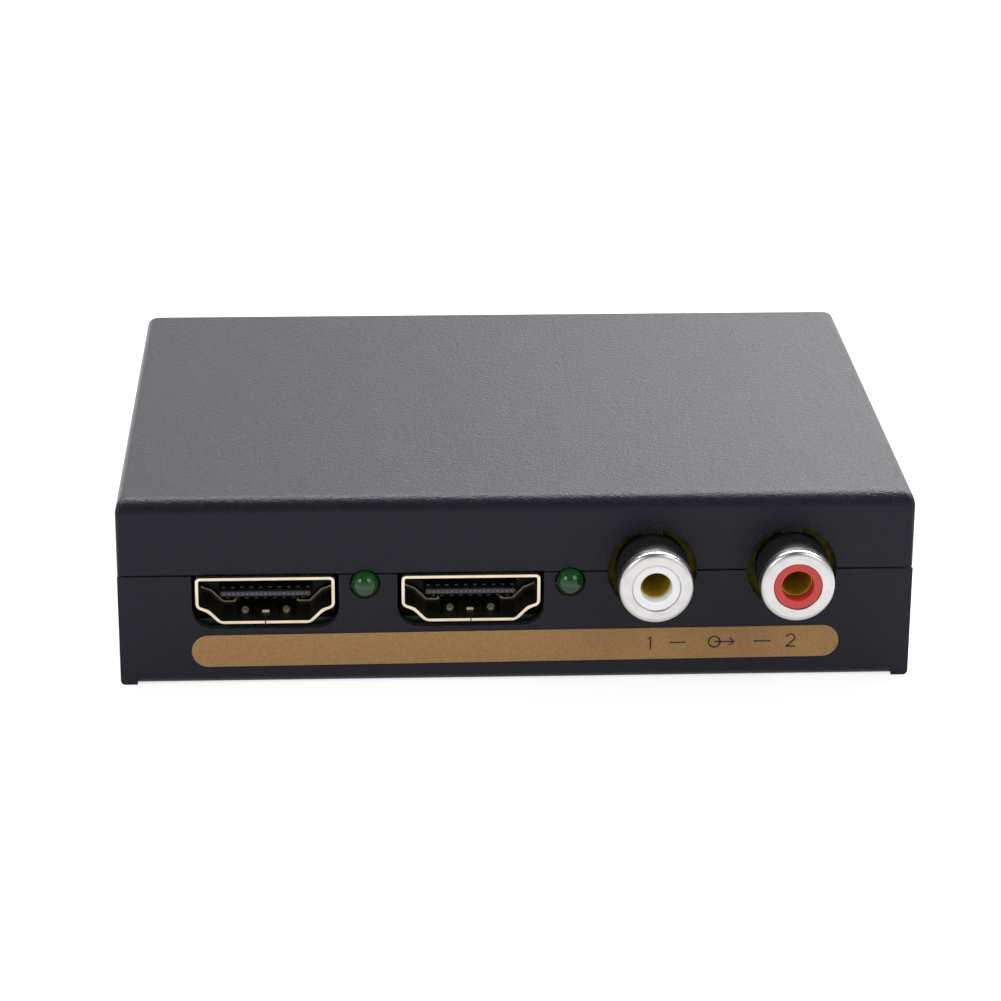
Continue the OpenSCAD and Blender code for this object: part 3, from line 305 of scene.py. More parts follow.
def mathNode(tree, operation, first, second):
    node = tree.nodes.new("ShaderNodeMath")
    node.operation = operation
    for socket, value in zip(node.inputs, (first, second)):
        if isinstance(value, (int, float)):
            socket.default_value = value
        else:
            tree.links.new(value, socket)
    return node.outputs[0]


def noiseNode(tree, place, size, detail=3):
    node = tree.nodes.new("ShaderNodeTexNoise")
    node.inputs["Scale"].default_value = 1 / (size * mm)
    node.inputs["Detail"].default_value = detail
    tree.links.new(place, node.inputs["Vector"])
    return node.outputs[0]


def mixColors(tree, share, first, second):
    node = tree.nodes.new("ShaderNodeMix")
    node.data_type = "RGBA"
    tree.links.new(share, node.inputs[0])
    for socket, value in ((node.inputs[6], first), (node.inputs[7], second)):
        if isinstance(value, tuple):
            socket.default_value = (*value, 1)
        else:
            tree.links.new(value, socket)
    return node.outputs[2]


def rangeNode(tree, value, low, high, outLow=0.0, outHigh=1.0):
    node = tree.nodes.new("ShaderNodeMapRange")
    tree.links.new(value, node.inputs[0])
    for socket, number in zip(list(node.inputs)[1:5], (low, high, outLow, outHigh)):
        socket.default_value = number
    return node.outputs[0]


def makeFinish(name, look, s=shading):
    material = bpy.data.materials.new(name)
    material.use_nodes = True
    tree = material.node_tree
    shader = tree.nodes["Principled BSDF"]
    place = tree.nodes.new("ShaderNodeTexCoord").outputs["Object"]
    blend = rangeNode(tree, noiseNode(tree, place, look["mottle"]), *s["colorBand"])
    color = mixColors(tree, blend, look["color"], look["second"])
    specks = look.get("specks")
    # painted sparkle: pale dots in the colour stand for tiny glints of the coat
    if specks:  # a few cells of a cell pattern hold a small pale dot
        cells = tree.nodes.new("ShaderNodeTexVoronoi")
        cells.inputs["Scale"].default_value = 1 / (specks["spacing"] * mm)
        tree.links.new(place, cells.inputs["Vector"])
        parts = tree.nodes.new("ShaderNodeSeparateColor")
        tree.links.new(cells.outputs["Color"], parts.inputs[0])
        near = rangeNode(tree, cells.outputs["Distance"], specks["radius"], specks["radius"] * s["speckEdge"])
        chosen = mathNode(tree, "LESS_THAN", parts.outputs[0], specks["share"])
        bright = mathNode(tree, "MULTIPLY", parts.outputs[1], chosen)
        color = mixColors(tree, mathNode(tree, "MULTIPLY", near, bright), color, specks["color"])
    tree.links.new(color, shader.inputs["Base Color"])
    rough = noiseNode(tree, place, look["mottle"] * s["roughMottle"])
    rough = rangeNode(tree, rough, *s["roughBand"], *look["rough"])
    tree.links.new(rough, shader.inputs["Roughness"])
    height = noiseNode(tree, place, look["grain"], 2)
    height = mathNode(tree, "MULTIPLY", height, look["relief"] * mm)
    if "fine" in look:
        fine = noiseNode(tree, place, look["fine"], 1)
        height = mathNode(tree, "ADD", height, mathNode(tree, "MULTIPLY", fine, look["fineRelief"] * mm))
    bump = tree.nodes.new("ShaderNodeBump")
    bump.inputs["Distance"].default_value = 1
    tree.links.new(height, bump.inputs["Height"])
    tree.links.new(bump.outputs[0], shader.inputs["Normal"])
    shader.inputs["Metallic"].default_value = look.get("metallic", 0)
    shader.inputs["Specular IOR Level"].default_value = look.get("specular", 0.5)
    if "sheen" in look:
        shader.inputs["Sheen Weight"].default_value = look["sheen"]
        shader.inputs["Sheen Roughness"].default_value = look["sheenRough"]
    if "subsurface" in look:
        shader.inputs["Subsurface Weight"].default_value = look["subsurface"]
        shader.inputs["Subsurface Radius"].default_value = [radius * mm for radius in s["scatter"]]
    return material


for finishName, finishLook in finishes.items():
    materials[finishName] = makeFinish(finishName, finishLook)
print("finishes made:", len(materials))

# what is cut through the front and rear panels

panelHoles = dict(
    front=-32.25, rear=32.25, sheet=1.0, reach=1.0,
    socketX=(-26.84, -4.91), windowWidth=15.7, windowLow=6.4, windowTop=12.56, windowCorner=2.2,
    lampX=(-16.22, 5.71), lampZ=11.34, lampHole=3.3,
    jackX=(14.5, 29.5), jackZ=12.5, jackHole=9.6,
    powerX=25.0, powerZ=13.5, powerHole=8.1,
    opticalX=-22.0, opticalWidth=10.8, opticalLow=6.8, opticalTop=18.2,
    switchX=2.0, switchZ=9.0, slotWidth=6.1, slotHeight=2.1, holeCorner=0.25,
)


def panelCutter(h=panelHoles):
    f0, f1 = h["front"] - h["reach"], h["front"] + h["sheet"] + h["reach"]
    r0, r1 = h["rear"] - h["sheet"] - h["reach"], h["rear"] + h["reach"]
    w, r = h["windowWidth"] / 2, h["windowCorner"]
    window = np.concatenate([
        [[w, h["windowTop"]], [-w, h["windowTop"]]],
        arc((r - w, h["windowLow"] + r), r, 180, 270, 16),
        arc((w - r, h["windowLow"] + r), r, 270, 360, 16)])
    circle = roundedBox(1, 1, 0.4999, 24)  # a box 1 mm wide whose corner arcs almost meet
    parts = [bar(window + (x, 0), f0, f1) for x in h["socketX"]]
    parts += [bar(circle * h["lampHole"] + (x, h["lampZ"]), f0, f1) for x in h["lampX"]]
    parts += [bar(circle * h["jackHole"] + (x, h["jackZ"]), f0, f1) for x in h["jackX"]]
    parts.append(bar(circle * h["powerHole"] + (h["powerX"], h["powerZ"]), r0, r1))
    mid = (h["opticalX"], (h["opticalLow"] + h["opticalTop"]) / 2)
    size = (h["opticalWidth"], h["opticalTop"] - h["opticalLow"])
    parts.append(bar(roundedBox(*size, h["holeCorner"], 6, mid), r0, r1))
    mid = (h["switchX"], h["switchZ"])
    parts.append(bar(roundedBox(h["slotWidth"], h["slotHeight"], h["holeCorner"], 6, mid), r0, r1))
    return newObject("panelCutter", parts)


# cover: a folded lid with round bends and ball-like corners

cover = dict(width=85, depth=64.5, top=21, low=12.575, sheet=1.0, bend=1.55, frontReach=1.95, backReach=0.8,
             sideReach=1.0, corner=0.5, ball=0.75, ballPower=1.5, inner=0.3, edge=0.1, edgeShare=0.3,
             bendSteps=12, cornerSteps=10, screwY=12.0, screwZ=14.775, screwHole=2.3, screwHead=3.9,
             headDepth=0.95, screwOver=1, screwReach=2)


def makeCover(c=cover):
    # rings from the edge of the flat top over the bend and down the wall, round the rim and up inside;
    # at angle a of the bend the inset is a reach * (1 - cos a) and the height top - bend + bend * sin a
    def ring(side, z, radius, front=None, back=None):
        front, back = (side if gap is None else gap for gap in (front, back))
        return alongZ(roundedBox(c["width"] - 2 * side, c["depth"] - front - back, radius, c["cornerSteps"],
                                 (0, (front - back) / 2)), z)
    angles = np.radians(np.linspace(90, 0, c["bendSteps"] + 1))
    rings = [ring(c["sideReach"] * (1 - math.cos(a)), c["top"] - c["bend"] * (1 - math.sin(a)),
                  c["corner"] + (c["ball"] - c["corner"]) * math.sin(a) ** c["ballPower"],
                  c["frontReach"] * (1 - math.cos(a)), c["backReach"] * (1 - math.cos(a))) for a in angles]
    low, edge, sheet = c["low"], c["edge"], c["sheet"]
    part = edge * c["edgeShare"]
    rings += [ring(0, low + edge, c["corner"]), ring(part, low + part, c["corner"]),
              ring(edge, low, c["corner"]), ring(sheet - edge, low, c["inner"]),
              ring(sheet, low + edge, c["inner"])]
    bend = c["bend"] - sheet
    rings += [ring(sheet + bend * (1 - math.cos(a)), c["top"] - sheet - bend * (1 - math.sin(a)), c["inner"])
              for a in angles[::-1]]
    obj = newObject("cover", [loft(rings)])
    carve(obj, panelCutter())
    screws = []
    for side in (-1, 1):
        for y in (-c["screwY"], c["screwY"]):
            # a countersink: radius falls from the head's to the shank's over the head's depth
            depth = np.array([-c["screwOver"], 0, c["headDepth"], c["screwReach"]])
            radius = np.array([c["screwHead"], c["screwHead"], c["screwHole"], c["screwHole"]]) / 2
            a = np.linspace(0, 2 * math.pi, 48, endpoint=False)[None]
            x = side * (c["width"] / 2 - depth[:, None]) + 0 * a
            screws.append(loft(np.stack([x, y + radius[:, None] * np.cos(a),
                                         c["screwZ"] + radius[:, None] * np.sin(a)], -1)))
    carve(obj, newObject("screwCutter", screws))
    return dress(obj, "powderBlack", ["top_cover"], sharp=50)


makeCover()
print("cover made")

# lower case: a folded tray with square ears at the ends of its front and rear panels

tray = dict(width=85, depth=64.5, top=12.425, sheet=1.0, bend=1.05, ear=1.8, corner=0.5, edge=0.1,
            inner=0.3, over=1.0, steps=12)


def makeTray(t=tray):
    w, d, r, over = t["width"] / 2, t["depth"] / 2, t["bend"], t["over"]
    k = t["corner"]
    front = np.concatenate([arc((k - w, k), k, 180, 270, 10), arc((w - k, k), k, 270, 360, 10),
                            [[w, t["top"]], [-w, t["top"]]]])
    obj = newObject("lowerCase", [bar(front, -d, d)])
    s = t["sheet"]
    hollow = roundedBox(2 * (w - s), 2 * (d - s), t["inner"], 6)
    carve(obj, newObject("hollow", [bar(hollow, s, t["top"] + over, alongZ)]))
    # what a round bend leaves of a square edge at the origin
    waste = np.concatenate([[[-over, -over], [r + over, -over], [r + over, 0]],
                            arc((r, r), r, 270, 180, t["steps"]), [[0, r + over], [-over, r + over]]])
    long, short = w - t["ear"], d - s
    mirrored = waste * (-1, 1)
    wastes = [bar(waste + (-d, 0), -long, long, alongX), bar(mirrored + (d, 0), -long, long, alongX)]
    carve(obj, newObject("frontBends", wastes))
    wastes = [bar(waste + (-w, 0), -short, short), bar(mirrored + (w, 0), -short, short)]
    carve(obj, newObject("sideBends", wastes))
    carve(obj, panelCutter())
    softenEdges(obj, t["edge"], 50)
    return dress(obj, "powderBlack", ["bottom_case"], sharp=50)


makeTray()
print("lower case made")

# stripes on the front and rear panels, and the marks on the front one

stripe = dict(length=69.6, height=3.62, z=4.0, front=-32.25, rear=32.25, thick=0.12, edge=0.03, tilt=0.3,
              steps=24, ink=0.012, sunk=0.01, pen=0.17, markHeight=1.5, markY=0.1,
              oneX=14.46, twoX=29.6, dashes=((16.5, 18.25), (25.6, 27.45)), signX=22.3)


def stripeRing(gap, y, tilt, s=stripe):
    height = s["height"] - 2 * gap
    outline = roundedBox(s["length"] - 2 * gap, height, s["height"] / 2 - gap - 1e-4, s["steps"])
    return alongY(lean(outline, tilt), y)


def lean(points, tilt, s=stripe):
    # turned by tilt degrees about the stripe's middle
    a = math.radians(tilt)
    return points @ np.array([[math.cos(a), math.sin(a)], [-math.sin(a), math.cos(a)]]) + (0, s["z"])


def makeStripes(s=stripe):
    for name, face, out, tilt, node in (("frontStripe", s["front"], -1, s["tilt"], "front_label"),
                                        ("rearStripe", s["rear"], 1, 0, "rear_label")):
        rings = [stripeRing(0, face, tilt), stripeRing(0, face + out * (s["thick"] - s["edge"]), tilt),
                 stripeRing(s["edge"], face + out * s["thick"], tilt)]
        dress(newObject(name, [loft(rings)]), "goldStripe", [node])


def makeMarks(s=stripe):
    h, z = s["markHeight"] / 2, s["markY"]
    one = [np.array([[-0.3, 0.55 * h], [0.0, h], [0.0, -h]])]
    hook = arc((0, h - 0.45), 0.45, 165, -25, 12)
    two = [np.concatenate([hook, [[-0.48, -h + 0.08]]]), np.array([[-0.5, -h + 0.08], [0.5, -h + 0.08]])]
    # output sign: a ring, and an arrow that leaves it
    arrow = [np.array([[-0.95, 0], [1.15, 0]]), np.array([[0.65, 0.42], [1.2, 0], [0.65, -0.42]])]
    ring = arc((-0.95, 0), 0.62, 0, 360, 40)[:-1]
    high, low = s["front"] - s["thick"] - s["ink"], s["front"] - s["thick"] + s["sunk"]
    strokes = [(p, s["oneX"]) for p in one] + [(p, s["twoX"]) for p in two] + [(p, s["signX"]) for p in arrow]
    strokes += [(np.array([[a, 0.0], [b, 0.0]]), 0) for a, b in s["dashes"]]
    parts = [ribbon(lean(p + (x, z), s["tilt"]), s["pen"], low, high) for p, x in strokes]
    parts.append(ribbon(lean(ring + (s["signX"], z), s["tilt"]), s["pen"], low, high, closed=True))
    dress(newObject("stripeMarks", parts), "markInk")


makeStripes()
makeMarks()
print("stripes and marks made")

# video sockets

socket = dict(width=14.84, height=5.32, low=7.14, front=-32.75, depth=11.5, wall=0.36, ease=0.6,
              round=0.07, roundShare=0.3, sideShare=0.34, shoulderShares=(0.835, 0.255), floorShare=0.655,
              notchWidth=0.12, notchLength=0.6, cutBelow=1, cutAbove=0.3, cutFront=1,
              legTop=9.8, legLow=4.39, legLength=1.2, legCorner=0.1, legY=(-29.65, -24.05))
# dish rows are shares of the dimple's radius: (distance from its axis, depth)
finger = dict(x=2.2, width=1.3, slot=0.3, start=1.4, length=4.5, dimpleY=2.25, dimpleRadius=0.4,
              dimpleRise=0.33, dimpleSteps=32,
              dishShares=((0, 0.02), (0.4, 0), (0.62, -0.1), (0.75, -0.3), (0.88, -0.3), (1, -0.1), (1, 0.3),
                          (0, 0.3)))
# a painted highlight: a pale stroke along the lower edge of the block's face inside a socket
line = dict(depth=5.35, gap=0.06, width=0.25, top=2.35, end=3.4, start=-0.05, stop=0.03)
# painted highlights: small bars of a pale finish put where glints fall inside a socket
glints = dict(
    slot=dict(x=3.4, rise=0.3, width=0.26, height=0.26, corner=0.1, steps=6, start=-0.3, stop=0.1),
    ledge=dict(x=2.8, rise=0.7, width=0.55, height=0.14, corner=0.05, steps=4, start=-0.2, stop=0.12),
    tab=dict(x=-0.02, rise=0.08, width=0.75, height=0.2, corner=0.07, steps=4, start=2.35, stop=2.6),
)
# tip rows are (side gap, height gap, depth behind the tip)
tongue = dict(width=10, height=1.1, recess=2.0, z=9.8, corner=0.12,
              tip=((0.2, 0.28, 0), (0.14, 0.24, 0.06), (0, 0, 0.45)),
              blockDepth=5.3, blockInto=0.3, blockGap=0.05, blockEase=0.08,
              stripGap=0.2, stripHeight=0.44, stripCorner=0.08, stripThick=0.02,
              pads=19, padMargin=0.7, padShare=0.45, padHeight=0.27, padCorner=0.07, padOut=0.05)


def socketOutline(gap, q=socket):
    # a box whose lower corners are cut off in two steps, moved inward by gap, with eased corners
    w, h, shoulder = q["width"] / 2, q["height"], q["shoulderShares"]
    half = np.array([[w, h], [w, h * q["sideShare"]], [w * shoulder[0], h * shoulder[1]],
                     [w * q["floorShare"], 0]])
    points = np.concatenate([half[::-1] * (-1, 1), half])
    return eased(inset(points, gap), q["ease"] - gap) + (0, q["low"])


def fingerCutter(x, q=socket, p=finger):
    # a U-shaped slot round each finger, and the seam's notch at the front of the floor
    f, low, high = q["front"], q["low"] - q["cutBelow"], q["low"] + q["wall"] + q["cutAbove"]
    a, b = p["width"] / 2, p["width"] / 2 + p["slot"]
    y0, y1 = f + p["start"], f + p["start"] + p["length"]
    around = np.array([[-b, y0], [b, y0], [b, y1], [a, y1], [a, y0 + p["slot"]], [-a, y0 + p["slot"]],
                       [-a, y1], [-b, y1]])
    cuts = [bar(around + (x + s * p["x"], 0), low, high, alongZ) for s in (-1, 1)]
    n, start, end = q["notchWidth"] / 2, f - q["cutFront"], f + q["notchLength"]
    notch = np.array([[-n, start], [n, start], [n, end], [-n, end]])
    return newObject("fingerCutter", cuts + [bar(notch + (x, 0), low, high, alongZ)])


def makeShell(x, side, q=socket):
    # rings of the outline from the rear along the outside, round the front edge and back along the inside
    f, rear, wall, r = q["front"], q["front"] + q["depth"], q["wall"], q["round"]
    part = r * q["roundShare"]
    rings = [(0, rear), (0, f + r), (part, f + part), (r, f), (wall - r, f), (wall - part, f + part),
             (wall, f + r), (wall, rear)]
    rings = [alongY(socketOutline(g) + (x, 0), y) for g, y in rings]
    shell = newObject(side + "SocketShell", [loft(rings, True)])
    carve(shell, fingerCutter(x))
    # the inner walls and the cut faces of the finger slots take the dark second finish: painted shade inside
    # the socket
    centre, normal = faceTable(shell)
    inward = (centre[:, 0] - x) * normal[:, 0] + (centre[:, 2] - tongue["z"]) * normal[:, 2] < 0
    slots = (np.abs(normal[:, 1]) > 0.9) & (centre[:, 2] < q["low"] + wall)
    inside = (inward & (np.abs(normal[:, 1]) < 0.3) | slots) & (centre[:, 1] > f + r)
    shell.data.polygons.foreach_set("material_index", inside.astype(np.int32))
    dress(shell, "goldPlating", [side.lower() + "_socket_shell"], more=["innerPlating"],
          sharp=35)


# a small bar placed for a painted glint
def glintBar(x, floor, y, g):
    outline = roundedBox(g["width"], g["height"], g["corner"], g["steps"], (x, floor + g["rise"]))
    return bar(outline, y + g["start"], y + g["stop"])


def makeFittings(x, side, q=socket, p=finger, m=line):
    # dimples on the fingers and the legs, and painted highlights: pale bars at the slot ends and on the
    # seam's tab, and a pale stroke along the edge of the block behind
    f, floor, paintedHighlightDepth = q["front"], q["low"] + q["wall"], q["front"] + m["depth"]
    # a dimple is a shallow dish inside a round rim, turned about an axis along Y
    dish = np.array(p["dishShares"]) * p["dimpleRadius"] + (0, f + p["dimpleY"])
    springs, bright = [], []
    for s in (-1, 1):
        springs.append(turned(dish, (x + s * p["x"], floor + p["dimpleRise"]), p["dimpleSteps"]))
        bright += [glintBar(x + s * g["x"], floor, paintedHighlightDepth, g) for g in (glints["slot"], glints["ledge"])]
    bright.append(glintBar(x + glints["tab"]["x"], floor, f, glints["tab"]))
    # the painted highlight along the block's edge, one stroke to each side
    path = socketOutline(q["wall"] + m["gap"])
    for s in (-1, 1):
        part = path[(path[:, 1] < q["low"] + m["top"]) & (path[:, 0] * s > 0)]
        part = part[np.argsort(part[:, 0] * s)]
        part[0, 0] = s * m["end"]
        bright.append(ribbon(part + (x, 0), m["width"], paintedHighlightDepth + m["start"], paintedHighlightDepth + m["stop"]))
    legs = []
    for s in (-1, 1):
        for y in q["legY"]:
            middle = (x + s * (q["width"] / 2 - q["wall"] / 2), y + q["legLength"] / 2)
            outline = roundedBox(q["wall"], q["legLength"], q["legCorner"], 3, middle)
            legs.append(bar(outline, q["legLow"], q["legTop"], alongZ))
    # legs in the darkened olive: painted shade below the socket's shoulders
    dress(newObject(side + "SocketLegs", legs), "olivePlating")
    # the dimples take the darkened plating: painted shade
    dress(newObject(side + "SocketSprings", springs), "springGold")
    dress(newObject(side + "SocketGlints", bright), "litEdge")


def makeTongue(x, side, q=socket, t=tongue):
    # a bar that narrows to its tip, the block behind it, and a strip with a row of small pads on the tip; the
    # strip's grey on the black tip is painted light
    rear, wall, z = q["front"] + q["depth"], q["wall"], t["z"]
    tip, face = q["front"] + t["recess"], rear - t["blockDepth"]
    w, h = t["width"], t["height"]
    rings = [(g, v, tip + y) for g, v, y in t["tip"]] + [(0, 0, face + t["blockInto"])]
    rings = [alongY(roundedBox(w - 2 * g, h - 2 * v, t["corner"], 4, (x, z)), y) for g, v, y in rings]
    outer = wall + t["blockGap"]
    block = [alongY(socketOutline(g) + (x, 0), y)
             for g, y in ((outer + t["blockEase"], face), (outer, face + t["blockEase"]), (outer, rear))]
    dress(newObject(side + "SocketTongue", [loft(rings)]), "mouldedBlack",
          [side.lower() + "_socket_insulator"])
    dress(newObject(side + "SocketBlock", [loft(block)]), "mouldedBlack")
    # painted light: a grey band across the tongue's black tip
    outline = roundedBox(w - 2 * t["stripGap"], t["stripHeight"], t["stripCorner"], 4, (x, z))
    strip = bar(outline, tip - t["stripThick"], tip + t["stripThick"])
    dress(newObject(side + "SocketStrip", [strip]), "tongueGrey")
    pitch = (w - t["padMargin"]) / t["pads"]
    places = x + (np.arange(t["pads"]) - (t["pads"] - 1) / 2) * pitch
    pads = [bar(roundedBox(pitch * t["padShare"], t["padHeight"], t["padCorner"], 3, (place, z)),
                tip - t["padOut"], tip) for place in places]
    dress(newObject(side + "SocketPads", pads), "padGrey")


for socketX, socketSide in zip(panelHoles["socketX"], ("Input", "Output")):
    makeShell(socketX, socketSide)
    makeFittings(socketX, socketSide)
    makeTongue(socketX, socketSide)
print("video sockets made")

# lamps

lamp = dict(radius=1.45, flange=1.85, flangeThick=0.8, length=3.4, back=-28.85, z=11.42,
            edge=0.1, steps=20)


def makeLamp(x, name, node, p=lamp):
    # flange, barrel and half a sphere, turned about the lamp's axis; y runs from the back to the front
    b, e, wide = p["back"], p["edge"], p["flange"]
    front = b - p["flangeThick"]
    dome = arc((0, 0), 1, 0, 90, p["steps"]) * (p["radius"], -p["radius"]) + (0, b - p["length"])
    profile = np.concatenate([[[0, b], [wide - e, b], [wide, b - e], [wide, front + e], [wide - e, front],
                               [p["radius"], front]], dome])
    dress(newObject(name, [turned(profile, (x, p["z"]))]), "lampGreen", [node], sharp=50)


for lampX, lampName in zip(panelHoles["lampX"], ("input", "output")):
    makeLamp(lampX, lampName + "Lamp", lampName + "_lamp")
print("lamps made")

# phono jacks

jack = dict(front=-37.35, z=12.5, ring=4.0, roll=0.6, ringLength=1.45, seat=3.35, hole=2.575, seatDepth=0.55,
            insulator=2.57, recess=0.14, insulatorLength=7.0, pin=1.675, pinLength=1.6, mouth=0.16,
            socketBore=2.1, edge=0.09, ringEdge=0.06)


def makeJack(x, side, finish, j=jack):
    f, e = j["front"], j["edge"]
    ringProfile = np.concatenate([
        [[j["seat"], f + j["ringLength"]], [j["seat"], f + j["seatDepth"]], [j["hole"], f + j["seatDepth"]]],
        arc((j["hole"] + e, f + e), e, 180, 270, 6),
        arc((j["ring"] - j["roll"], f + j["roll"]), j["roll"], 270, 360, 16),
        [[j["ring"], f + j["ringLength"] - j["ringEdge"]], [j["ring"] - j["ringEdge"], f + j["ringLength"]]]])
    dress(newObject(side + "JackRing", [turned(ringProfile, (x, j["z"]), 128)]), "nickel",
          [side + "_jack_ring"], sharp=50)
    g = f + j["recess"]
    insulatorProfile = np.concatenate([
        arc((j["pin"] + j["mouth"], g + j["mouth"]), j["mouth"], 180, 270, 6),
        arc((j["insulator"] - e, g + e), e, 270, 360, 6),
        [[j["insulator"], g + j["insulatorLength"]], [j["socketBore"], g + j["insulatorLength"]],
         [j["socketBore"], g + j["pinLength"]], [j["pin"], g + j["pinLength"]]]])
    dress(newObject(side + "JackInsulator", [turned(insulatorProfile, (x, j["z"]), 96)]), finish,
          [side + "_jack_insulator"], sharp=50)


makeJack(panelHoles["jackX"][0], "left", "insulatorWhite")
makeJack(panelHoles["jackX"][1], "right", "insulatorRed")
easedCopy("jack_housing", "jackHousing", "mouldedBlack", 0.12)
easedCopy("left_jack_contact", "leftJackSocket", "brass", 0.05)
easedCopy("right_jack_contact", "rightJackSocket", "brass", 0.05)
print("phono jacks made")

# rear outlets and side screws, with softened edges

# CAD node, piece, finish, slot, width of the edges, body
easedNodes = [
    ("optical_housing", "opticalHousing", "mouldedBlack", "moulded_black", 0.15, "case"),
    ("optical_shutter", "opticalShutter", "mouldedBlack", "moulded_black", 0.08, "shutter"),
    ("power_jack_body", "powerJackBody", "mouldedBlack", "moulded_black", 0.1, "case"),
    ("power_jack_pin", "powerJackPin", "nickel", "nickel", 0.05, "case"),
    ("switch_frame", "switchFrame", "steel", "steel", 0.05, "case"),
    ("switch_slider", "switchSlider", "mouldedBlack", "moulded_black", 0.12, "mode_slider"),
    ("cover_screws", "coverScrews", "blackScrew", "black_screw", 0.04, "case"),
]
for cadNode, pieceName, finish, slotName, edgeWidth, bodyName in easedNodes:
    easedCopy(cadNode, pieceName, finish, edgeWidth, bodyName)
print("rear outlets and screws made")

# finishes of the CAD nodes that show as they are

# a slot's finish has the slot's name, with a capital in place of each underscore, but for these nodes; the
# ground rings take the darkened olive of painted shade
nodeFinishes = {"jack_ground_rings": "olivePlating", "input_socket_contacts": "dimContact",
                "output_socket_contacts": "dimContact"}
for subpart in frame["record"]["subparts"]:
    data = frame["nodes"][subpart["node"]].data
    first, *rest = subpart["material_slot"].split("_")
    finish = nodeFinishes.get(subpart["node"], first + "".join(word.title() for word in rest))
    data.materials.clear()
    data.materials.append(materials[finish])
print("CAD nodes finished")

# floor, light and camera

studio = dict(floorSize=8.0, floorColor=(0.36, 0.36, 0.36), floorRough=0.9, floorGlow=0.72, skyLight=0.6,
              ceiling=0.1, whiteBand=(0.22, 0.6), target=(0, 0, 0.012))
# azimuth 0 is in front of the object, 90 to its right; a size of two numbers makes a rectangle
softLamps = dict(
    leftLamp=dict(azimuth=-56.4, elevation=37, distance=1.2, size=(0.6,), power=4.15),
    rightLamp=dict(azimuth=50.1, elevation=42, distance=1.2, size=(0.75,), power=4.4),
    backLamp=dict(azimuth=148, elevation=30, distance=1.5, size=(1.3, 0.4), power=13.0),
    highLamp=dict(azimuth=170, elevation=55, distance=1.4, size=(1.8, 0.3), power=36.0),
)


def whiteRays(tree):
    # 1 for camera, mirror and glass rays, 0 for the rays that light the object
    rays = tree.nodes.new("ShaderNodeLightPath")
    seen = mathNode(tree, "MAXIMUM", rays.outputs["Is Camera Ray"], rays.outputs["Is Glossy Ray"])
    return mathNode(tree, "MAXIMUM", seen, rays.outputs["Is Transmission Ray"])


def makeFloor(s=studio):
    half = s["floorSize"] / 2
    mesh = bpy.data.meshes.new("floor")
    corners = [(-half, -half, 0), (half, -half, 0), (half, half, 0), (-half, half, 0)]
    mesh.from_pydata(corners, [], [(0, 1, 2, 3)])
    floor = bpy.data.objects.new("floor", mesh)
    bpy.context.scene.collection.objects.link(floor)
    material = bpy.data.materials.new("floorWhite")
    material.use_nodes = True
    tree = material.node_tree
    shader = tree.nodes["Principled BSDF"]
    shader.inputs["Base Color"].default_value = (*s["floorColor"], 1)
    shader.inputs["Roughness"].default_value = s["floorRough"]
    shader.inputs["Specular IOR Level"].default_value = 0.0
    shader.inputs["Emission Color"].default_value = (1, 1, 1, 1)
    glow = mathNode(tree, "MULTIPLY", whiteRays(tree), s["floorGlow"])
    tree.links.new(glow, shader.inputs["Emission Strength"])
    mesh.materials.append(material)


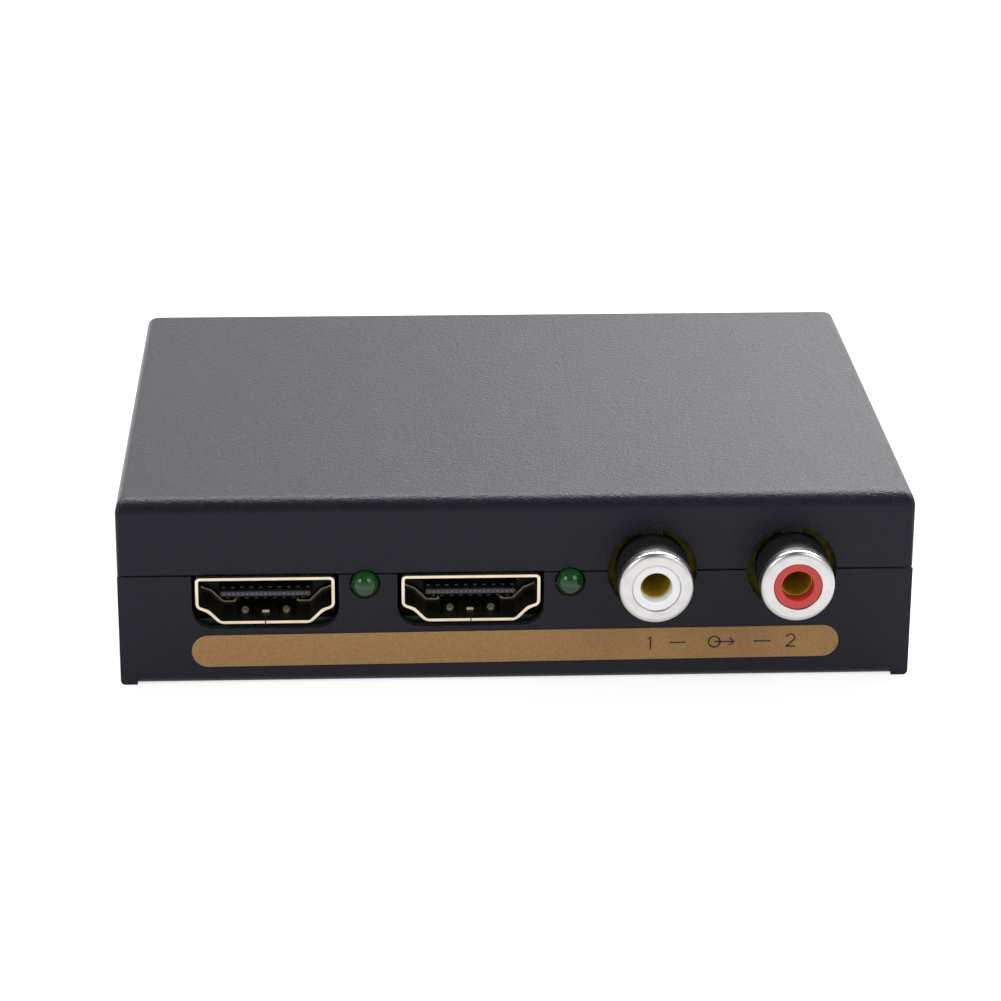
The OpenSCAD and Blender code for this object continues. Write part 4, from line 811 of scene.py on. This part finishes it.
def makeSky(s=studio):
    world = bpy.data.worlds.new("studio")
    bpy.context.scene.world = world
    world.use_nodes = True
    tree = world.node_tree
    background = tree.nodes["Background"]
    background.inputs["Color"].default_value = (1, 1, 1, 1)
    # white low down, dim overhead: the height of a ray is the z of its direction
    parts = tree.nodes.new("ShaderNodeSeparateXYZ")
    tree.links.new(tree.nodes.new("ShaderNodeTexCoord").outputs["Generated"], parts.inputs[0])
    white = rangeNode(tree, parts.outputs[2], *s["whiteBand"], 1.0, s["ceiling"])
    rays = tree.nodes.new("ShaderNodeLightPath")
    seen = mathNode(tree, "MAXIMUM", rays.outputs["Is Camera Ray"], rays.outputs["Is Transmission Ray"])
    mirrored = mathNode(tree, "MULTIPLY", rays.outputs["Is Glossy Ray"], white)
    strength = mathNode(tree, "MULTIPLY", rays.outputs["Is Diffuse Ray"], s["skyLight"])
    strength = mathNode(tree, "ADD", strength, mirrored)
    tree.links.new(mathNode(tree, "MAXIMUM", strength, seen), background.inputs["Strength"])


def placed(right, up, back, place):
    # the matrix that turns a lamp or camera, which looks along its own -Z
    turn = np.column_stack([right, up, back])
    return Matrix(np.block([[turn, np.array(place)[:, None]], [np.zeros((1, 3)), np.ones((1, 1))]]).tolist())


def softLamp(name, azimuth, elevation, distance, size, power, target=studio["target"]):
    a, e = math.radians(azimuth), math.radians(elevation)
    way = np.array([math.sin(a) * math.cos(e), -math.cos(a) * math.cos(e), math.sin(e)])
    light = bpy.data.lights.new(name, "AREA")
    light.energy, light.shape, light.size = power, "DISK", size[0]
    if len(size) > 1:
        light.shape, light.size_y = "RECTANGLE", size[1]
    lampObject = bpy.data.objects.new(name, light)
    bpy.context.scene.collection.objects.link(lampObject)
    side = np.cross([0, 0, 1], way)
    side /= np.linalg.norm(side)
    lampObject.matrix_world = placed(side, np.cross(way, side), way, np.array(target) + way * distance)


makeFloor()
makeSky()
for softName, softLook in softLamps.items():
    softLamp(softName, **softLook)

view = dict(place=(-0.0170, -0.35726, 0.1450), yaw=2.6785, pitch=20.9037, roll=0.3165, lens=118.47,
            sensor=36, near=0.01, far=20)


def makeCamera(v=view):
    yaw, pitch, roll = (math.radians(v[k]) for k in ("yaw", "pitch", "roll"))
    ahead = np.array([math.sin(yaw) * math.cos(pitch), math.cos(yaw) * math.cos(pitch), -math.sin(pitch)])
    right = np.array([math.cos(yaw), -math.sin(yaw), 0])
    up = np.cross(right, ahead)
    r = math.cos(roll) * right + math.sin(roll) * up
    u = -math.sin(roll) * right + math.cos(roll) * up
    data = bpy.data.cameras.new("camera")
    data.lens, data.sensor_width = v["lens"], v["sensor"]
    data.clip_start, data.clip_end = v["near"], v["far"]
    camera = bpy.data.objects.new("camera", data)
    bpy.context.scene.collection.objects.link(camera)
    camera.matrix_world = placed(r, u, -ahead, v["place"])
    bpy.context.scene.camera = camera


makeCamera()
bpy.context.scene.view_settings.view_transform = "Standard"
print("studio made")
